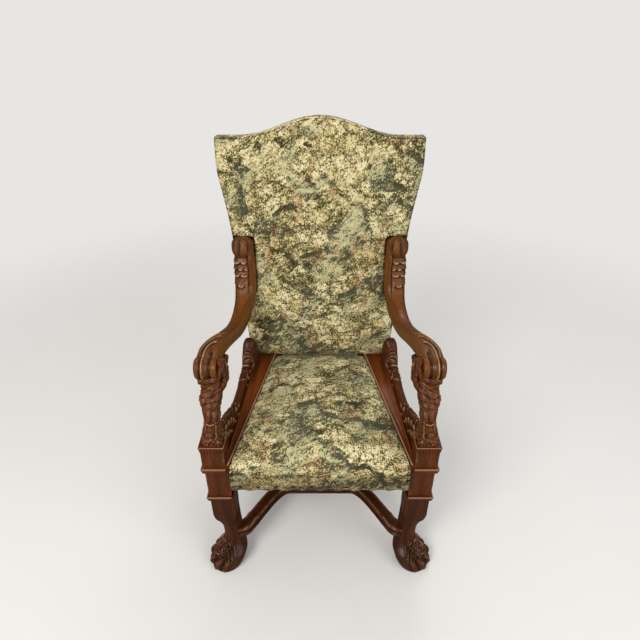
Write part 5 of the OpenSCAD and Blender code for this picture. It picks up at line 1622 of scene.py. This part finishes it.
class ARMCHAIR_OT_seat(ArmchairOperator, bpy.types.Operator):
    """Builds the stuffed seat with its rolled front edge, pulled in at the nails"""

    bl_idname = "armchair.seat"
    bl_label = "Seat"

    def make(self, context, plan, known):
        """The side view is carried across, its upper line raised by the crown, 1 - |u|^3.2."""
        top, under = seat_side(plan)
        s = np.linspace(0, 1, 130)[:, None]
        a, b = follow(top, s[:, 0]), follow(under, s[:, 0])
        u = np.linspace(-1, 1, 90)[None]
        crown = 1 - np.abs(u) ** 3.2
        drop = (1 - crown) * 0.004 * ease(5 / 7, 4 / 7, s)
        upper_z = a[:, 1:2] + plan.sizes.seat_crown * a[:, 2:3] * crown - drop
        y = np.concatenate([a[:, :1] + 0 * u, b[:, :1] + 0 * u], 1)
        z = np.concatenate([upper_z, b[:, 1:2] + 0 * u], 1)
        across = np.concatenate([u + 0 * s, u[:, ::-1] + 0 * s], 1)
        x = across * (plan.fabric_half(np.maximum(y, plan.block_front)) + 0.0012)
        rings = np.stack([x, y, z], 2)
        hem = plan.rail_low + 0.005

        def held(p):
            """Firm below, at the rear, along the boards and at the hem, free on the crown and the roll."""
            side = ease(
                0.030, 0.004, plan.fabric_half(np.maximum(p[:, 1], plan.block_front)) - np.abs(p[:, 0])
            )
            low = ease(0.030, 0.004, p[:, 2] - hem)
            below = ease(0.010, 0.004, p[:, 2] - plan.rail_top) * (p[:, 1] > plan.block_front)
            rear = ease(plan.post_y - 0.040, plan.post_y - 0.012, p[:, 1])
            return np.maximum.reduce([side, low, below, rear])

        piece = padded_form("seat_tapestry", rings, voxel=0.0055, held=held, cap=0.009, pressure=3.0)
        self.gather(piece, plan, hem)
        dress_padding(piece, plan, known, seat=True)
        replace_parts(piece, "seat_stuffing", "seat_cover")

    def gather(self, piece, plan, hem):
        """Puckers the front edge.

        Short radiating folds fade upwards from each nail, with a faint sag between them.
        """
        p = points_of(piece.data)
        face = ease(plan.block_front + 0.012, plan.block_front - 0.006, p[:, 1])
        up = p[:, 2] - hem
        phase = np.mod(p[:, 0] / NAIL_PITCH, 1) - 0.5
        pucker = np.cos(2 * np.pi * phase) * np.exp(-np.clip(up, 0, 1) / 0.016)
        fold = 0.6 * np.cos(2 * np.pi * (p[:, 0] / 0.0173 + 3 * up)) * np.exp(-np.clip(up, 0, 1) / 0.011)
        p[:, 1] += face * (0.0013 * pucker + 0.0006 * fold)
        p[:, 2] += 0.0010 * np.cos(2 * np.pi * phase) * face * ease(0.006, 0.0, up)
        piece.data.vertices.foreach_set("co", p.astype(np.float32).ravel())


class ARMCHAIR_OT_nails(ArmchairOperator, bpy.types.Operator):
    """Drives the domed nails along the front hem, each seated on the fabric"""

    bl_idname = "armchair.nails"
    bl_label = "Front nails"

    def make(self, context, plan, known):
        """Each dome is a quarter ellipse turned about its axis, on a plane fitted to the cloth."""
        cloth = points_of(bpy.data.objects["seat_tapestry"].data)
        low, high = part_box("front_nails")
        radius, height, z0 = 0.0062, 0.0046, plan.rail_low + 0.0185
        count = int(round((high.x - low.x - 0.010) / NAIL_PITCH)) + 1
        places = [(x0, z0) for x0 in np.linspace(low.x + 0.005, high.x - 0.005, count)]
        edge = float(plan.fabric_half(plan.block_front)) - 0.007
        places += [(side * edge, z0 + up) for side in (-1, 1) for up in (0.030, 0.049)]
        theta = np.linspace(0.0, np.pi / 2, 9)[:, None]
        phi = np.linspace(0, 2 * np.pi, 24, endpoint=False)[None]
        dome = np.stack([
            radius * np.sin(theta) * np.cos(phi),
            radius * np.sin(theta) * np.sin(phi),
            height * np.cos(theta) + 0 * phi,
        ], 2)
        dome = np.concatenate([dome, dome[-1:] * [0.96, 0.96, 1] - [0, 0, 0.0022]])
        skin = Skin()
        for x0, z1 in places:
            near = cloth[np.hypot(cloth[:, 0] - x0, cloth[:, 2] - z1) < 0.009]
            near = near[near[:, 1] < near[:, 1].min() + 0.007]
            terms = np.stack([np.ones(len(near)), near[:, 0] - x0, near[:, 2] - z1], 1)
            lie = np.linalg.lstsq(terms, near[:, 1], rcond=None)[0]
            out = np.array([lie[1], -1.0, lie[2]]) / np.sqrt(1 + lie[1] ** 2 + lie[2] ** 2)
            across = np.cross([0, 0, 1.0], out)
            across = across / np.linalg.norm(across)
            turned = dome[..., :1] * across + dome[..., 1:2] * np.cross(out, across) + dome[..., 2:3] * out
            skin.tube(turned + [x0, lie[0], z1] - 0.0002 * out)
        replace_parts(skin.build("nails_domed", known["bronze_aged"], "bronze", sharp=50), "front_nails")


def back_outline(plan, inset, count=420):
    """Outline of the back seen from the front, a closed loop at even steps.

    It runs up one side, over the crest and down the other.
    """
    z0, z1 = plan.back_low + inset, plan.sizes.shoulder_height - inset
    z = np.linspace(z0, z1, 200)
    right = np.stack([plan.back_half(z) - inset, z], 1)
    half = float(plan.back_half(np.array(z1))) - inset
    x = np.linspace(half, -half, 240)
    top = np.stack([x, plan.crest(x) - inset], 1)
    left = right[::-1] * [-1, 1]
    foot = float(plan.back_half(np.array(z0))) - inset
    low = np.stack([np.linspace(-foot, foot, 120), np.full(120, z0)], 1)
    loop = np.concatenate([right, top[1:], left[1:], low[1:]])
    way = np.concatenate([[0], np.cumsum(np.linalg.norm(np.diff(loop, axis=0), axis=1))])
    at = np.linspace(0, way[-1], count, endpoint=False)
    return np.stack([np.interp(at, way, loop[:, 0]), np.interp(at, way, loop[:, 1])], 1)


BACK_SHARES = [[1, 0], [0.98, 0.34], [0.92, 0.60], [0.80, 0.82], [0.60, 0.95], [0.30, 1], [0.02, 1]]


def back_ring(plan, loop, share, depth):
    """The outline shrunk towards the middle by a share, in front of the frame by a depth."""
    middle = (plan.back_low + plan.sizes.shoulder_height) / 2
    x, z = loop[:, 0] * share, mix(middle, loop[:, 1], share)
    return np.stack([x, plan.post_front(z) - depth, z], 1)


class ARMCHAIR_OT_back(ArmchairOperator, bpy.types.Operator):
    """Builds the stuffed back, its boxing round the frame and the seam between them"""

    bl_idname = "armchair.back"
    bl_label = "Back"

    def make(self, context, plan, known):
        """Rings of the outline shrink by their shares as their depth grows from edge to crown."""
        loop = back_outline(plan, 0.0006)
        edge, crown = 0.009, plan.sizes.back_crown
        shares = follow(BACK_SHARES, np.linspace(1, 0, 40))
        front = [back_ring(plan, loop, k, edge + (crown - edge) * f + 0.0015) for k, f in shares]
        rear = [back_ring(plan, loop, 1, 0.0045), back_ring(plan, loop, 0.5, 0.0045)]
        rings = np.stack(front + rear)
        half_pad = ARM_END_WIDTH / 2
        inner = plan.pad_x - half_pad + 0.003
        outer, foot, head = 0.36, 0.676, 0.8812
        cuts = [((-outer, -0.2, foot), (-inner, 0.5, head)), ((inner, -0.2, foot), (outer, 0.5, head))]

        def held(p):
            """Firm at the outline, on the rear face and beside the arms, free on the crown."""
            depth = plan.post_front(p[:, 2]) - p[:, 1]
            inward = np.minimum.reduce([
                plan.back_half(p[:, 2]) - np.abs(p[:, 0]),
                plan.crest(p[:, 0]) - p[:, 2],
                p[:, 2] - plan.back_low,
            ])
            return np.maximum(ease(0.045, 0.006, inward), ease(0.010, 0.006, depth))

        piece = padded_form("back_tapestry", rings, 0.006, held, cap=0.010, pressure=3.0, cuts=cuts)
        dress_padding(piece, plan, known, seat=False)
        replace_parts(piece, "back_stuffing")
        self.boxing(plan, known)

    def boxing(self, plan, known):
        """The boxing: a band 2 mm thick round the frame, from the seam to the outside back.

        Its front edge turns in a little.
        """
        outer, inner = back_outline(plan, 0.0), back_outline(plan, 0.002)
        depths = [0.0095, 0.008, 0.004, 0.0, -0.010, -0.020, -0.030, -0.038, -0.040]
        swell_out = [-0.0008, 0.0, 0.0003, 0.0006, 0.0009, 0.0009, 0.0006, 0.0, 0.0]
        rings = []
        for depth, out in zip(depths, swell_out):
            rings.append(back_ring(plan, outer, 1, depth) + outline_normal(outer) * out)
        for depth in depths[::-1]:
            rings.append(back_ring(plan, inner, 1, depth))
        grid = np.stack(rings)
        skin = Skin()
        self.band(skin, grid)
        name = "back_boxing"
        piece = finish_piece(name, skin.mesh(name), known["tapestry_verdure"], sharp=50)
        cloth_coordinates(piece, plan, seat=False)
        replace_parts(piece, "back_cover")

    def band(self, skin, grid):
        """A ring-shaped skin: the rows join round, and the last row joins the first."""
        m, n = grid.shape[:2]
        i, j = np.meshgrid(np.arange(m), np.arange(n), indexing="ij")
        a, b = i * n + j, i * n + (j + 1) % n
        c, d = (i + 1) % m * n + (j + 1) % n, (i + 1) % m * n + j
        faces = np.stack([a, b, c, d], 2).reshape(-1, 4)
        points = grid.reshape(-1, 3)
        p = points[faces]
        volume = (np.cross(p[:, 0], p[:, 1]) * p[:, 2]).sum() + (np.cross(p[:, 0], p[:, 2]) * p[:, 3]).sum()
        skin.points.append(points)
        skin.faces.append(faces if volume > 0 else faces[:, ::-1])


def outline_normal(loop):
    """Outward unit normals of a closed outline in the XZ plane."""
    step = np.roll(loop, -1, 0) - np.roll(loop, 1, 0)
    step /= np.linalg.norm(step, axis=1, keepdims=True)
    return np.stack([step[:, 1], 0 * step[:, 0], -step[:, 0]], 1)


class ARMCHAIR_OT_cloths(ArmchairOperator, bpy.types.Operator):
    """Stretches the cloth over the outside of the back and the dust cover under the seat"""

    bl_idname = "armchair.cloths"
    bl_label = "Outside back and dust cover"

    def make(self, context, plan, known):
        """Each cloth is a grid on the frame; the outside back sags as sin(pi share)^0.5 (1 - u^4)."""
        share = np.linspace(0, 1, 150)[:, None]
        u = np.linspace(-1, 1, 130)[None]
        x_top = u * (plan.sizes.back_top_half - 0.001)
        crest = plan.crest(x_top) - 0.001
        low = plan.back_low + 0.001
        z = low + (crest - low) * share
        x = u * (plan.back_half(np.minimum(z, plan.sizes.shoulder_height)) - 0.001)
        sag = 0.0022 * np.sin(np.pi * share) ** 0.5 * (1 - u**4)
        y = plan.post_front(z) + 0.0405 + 0.0012 - 0.5 * sag
        piece = self.sheet(
            "outside_back_cloth", np.stack([x, y, z], 2), known["tapestry_verdure"], "tapestry"
        )
        cloth_coordinates(piece, plan, seat=False)
        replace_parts(piece, "outside_back")
        middle = z[:, z.shape[1] // 2]
        area = float(np.trapz(2 * (plan.back_half(middle) - 0.001), middle)) / math.cos(plan.sizes.lean)
        low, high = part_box("dust_cover")
        y = mix(low.y, high.y, share)
        half = np.where(
            y < plan.block_back + 0.004,
            plan.block_in - 0.004,
            np.minimum(plan.rail_half(y) - 0.010, high.x)
        )
        half = np.where(y > plan.post_y - 0.004, 0.188, half)
        x = u * half
        z = low.z + 0.0006 + 0 * x
        piece = self.sheet("dust_cover_cloth", np.stack([x, y + 0 * x, z], 2), known["dust_cloth"], "linen")
        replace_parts(piece, "dust_cover")

    def sheet(self, name, grid, material, slot):
        """A grid of points as a cloth 1 mm thick."""
        m, n = grid.shape[:2]
        a = (np.arange(m - 1)[:, None] * n + np.arange(n - 1)[None]).ravel()
        mesh = bpy.data.meshes.new(name)
        mesh.from_pydata(grid.reshape(-1, 3).tolist(), [], np.stack([a, a + 1, a + n + 1, a + n], 1).tolist())
        piece = finish_piece(name, mesh, material)
        thick = piece.modifiers.new("thickness", "SOLIDIFY")
        thick.thickness, thick.offset = 0.0010, 0
        return piece


class ARMCHAIR_OT_stage(ArmchairOperator, bpy.types.Operator):
    """Sets the pale floor, the soft studio lights and the camera"""

    bl_idname = "armchair.stage"
    bl_label = "Stage"

    def make(self, context, plan, known):
        scene = context.scene
        scene.view_settings.view_transform = "Standard"
        self.floor()
        self.world(scene)
        for name, place, size, power, tint in (
            ("key", (-1.7, -2.6, 2.9), 1.8, 92.0, (1.0, 0.97, 0.93)),
            ("fill", (2.3, -2.0, 2.1), 2.2, 42.0, (0.96, 0.98, 1.0)),
            ("rim", (0.4, 2.4, 2.8), 1.6, 30.0, (1.0, 1.0, 1.0)),
        ):
            self.lamp(name, place, size, power, tint)
        camera = bpy.data.cameras.new("camera")
        camera.sensor_width = SENSOR
        camera.lens = FOCAL_PIXELS / PHOTO_PIXELS * SENSOR
        eye = bpy.data.objects.new("camera", camera)
        eye.location = (0.0, plan.front - CAMERA_DISTANCE, CAMERA_HEIGHT)
        eye.rotation_euler = (math.radians(90 - CAMERA_PITCH), 0, 0)
        scene.collection.objects.link(eye)
        scene.camera = eye

    def floor(self):
        """A level floor that fades into the backdrop's tone beyond the chair.

        It looks darker to everything but the camera.
        """
        mesh = bpy.data.meshes.new("floor")
        mesh.from_pydata([(-30, -8, 0), (30, -8, 0), (30, 60, 0), (-30, 60, 0)], [], [(0, 1, 2, 3)])
        s = Shader("floor_pale")
        place = s.objects()
        grit = s.field(place, 3.0, 3.0, 0.6)
        s.set(
            Base_Color=s.blend((0.77, 0.76, 0.745), (0.80, 0.79, 0.775), grit),
            Roughness=0.8,
            Specular_IOR_Level=0.2
        )
        dim = s.node("ShaderNodeBsdfDiffuse", None, {"Color": (0.30, 0.27, 0.235, 1)})["BSDF"]
        far = s.node("ShaderNodeEmission", None, {"Color": (*BACKDROP, 1), "Strength": 1.0})["Emission"]
        split = s.axes(place)
        away = (split["X"] * split["X"] + (split["Y"] - 0.2) * (split["Y"] - 0.2)) ** 0.5
        rays = s.node("ShaderNodeLightPath")
        seen, pale = rays["Is Camera Ray"], Value(s, s.surface.outputs["BSDF"])
        near = s.node("ShaderNodeMixShader", None, [seen, dim, pale])["Shader"]
        whole = s.node("ShaderNodeMixShader", None, [away.step(1.0, 3.2) * seen, near, far])["Shader"]
        output = [n for n in s.tree.nodes if n.type == "OUTPUT_MATERIAL"][0]
        s.tree.links.new(whole.socket, output.inputs["Surface"])
        mesh.materials.append(s.material)
        floor = bpy.data.objects.new("floor", mesh)
        bpy.context.scene.collection.objects.link(floor)

    def world(self, scene):
        """An even pale light, much weaker in reflections, with the backdrop's tone behind the chair."""
        world = bpy.data.worlds.new("studio")
        world.use_nodes = True
        tree = world.node_tree
        tree.nodes.clear()
        rays = tree.nodes.new("ShaderNodeLightPath")

        def even(tint, strength):
            """A background of one tint."""
            node = tree.nodes.new("ShaderNodeBackground")
            node.inputs["Color"].default_value = (*tint, 1)
            node.inputs["Strength"].default_value = strength
            return node.outputs[0]

        def choose(ray, other, chosen):
            """The chosen background for rays of that kind, the other one for the rest."""
            node = tree.nodes.new("ShaderNodeMixShader")
            for socket, link in enumerate((rays.outputs[ray], other, chosen)):
                tree.links.new(link, node.inputs[socket])
            return node.outputs[0]

        unseen = choose("Is Glossy Ray", even((1.0, 0.98, 0.95), 0.48), even((1.0, 0.92, 0.82), 0.09))
        whole = choose("Is Camera Ray", unseen, even(BACKDROP, 1.0))
        tree.links.new(whole, tree.nodes.new("ShaderNodeOutputWorld").inputs[0])
        scene.world = world

    def lamp(self, name, place, size, power, tint):
        """A square soft light that faces the seat back."""
        data = bpy.data.lights.new(name, "AREA")
        data.shape, data.size, data.energy, data.color = "SQUARE", size, power, tint
        lamp = bpy.data.objects.new(name, data)
        lamp.location = place
        aim = np.array([0.0, 0.0, 0.6]) - np.array(place)
        flat = math.hypot(aim[0], aim[1])
        lamp.rotation_euler = (math.atan2(flat, -aim[2]), 0, math.atan2(-aim[0], aim[1]))
        bpy.context.scene.collection.objects.link(lamp)


class ARMCHAIR_PT_panel(bpy.types.Panel):
    """Lists the steps in the order in which they run"""

    bl_label = "Armchair"
    bl_idname = "ARMCHAIR_PT_panel"
    bl_space_type = "VIEW_3D"
    bl_region_type = "UI"
    bl_category = "Armchair"

    def draw(self, context):
        for operator in STEPS:
            self.layout.operator(operator.bl_idname)


STEPS = (
    ARMCHAIR_OT_frame,
    ARMCHAIR_OT_front_legs,
    ARMCHAIR_OT_blocks,
    ARMCHAIR_OT_arms,
    ARMCHAIR_OT_arm_supports,
    ARMCHAIR_OT_side_boards,
    ARMCHAIR_OT_stretchers,
    ARMCHAIR_OT_seat,
    ARMCHAIR_OT_nails,
    ARMCHAIR_OT_back,
    ARMCHAIR_OT_cloths,
    ARMCHAIR_OT_stage,
)
GROUPS = {
    "armchair_sizes": ArmchairSizes, "armchair_carving": ArmchairCarving, "armchair_finish": ArmchairFinish
}


def register():
    """Registers the settings, the steps and the panel."""
    for name, group in GROUPS.items():
        bpy.utils.register_class(group)
        setattr(bpy.types.Scene, name, PointerProperty(type=group))
    for operator in (*STEPS, ARMCHAIR_PT_panel):
        bpy.utils.register_class(operator)


def unregister():
    """Takes back what register did."""
    for operator in (ARMCHAIR_PT_panel, *reversed(STEPS)):
        bpy.utils.unregister_class(operator)
    for name, group in GROUPS.items():
        delattr(bpy.types.Scene, name)
        bpy.utils.unregister_class(group)


def main():
    register()
    for operator in STEPS:
        group, name = operator.bl_idname.split(".")
        getattr(getattr(bpy.ops, group), name)()


if __name__ == "__main__":
    main()
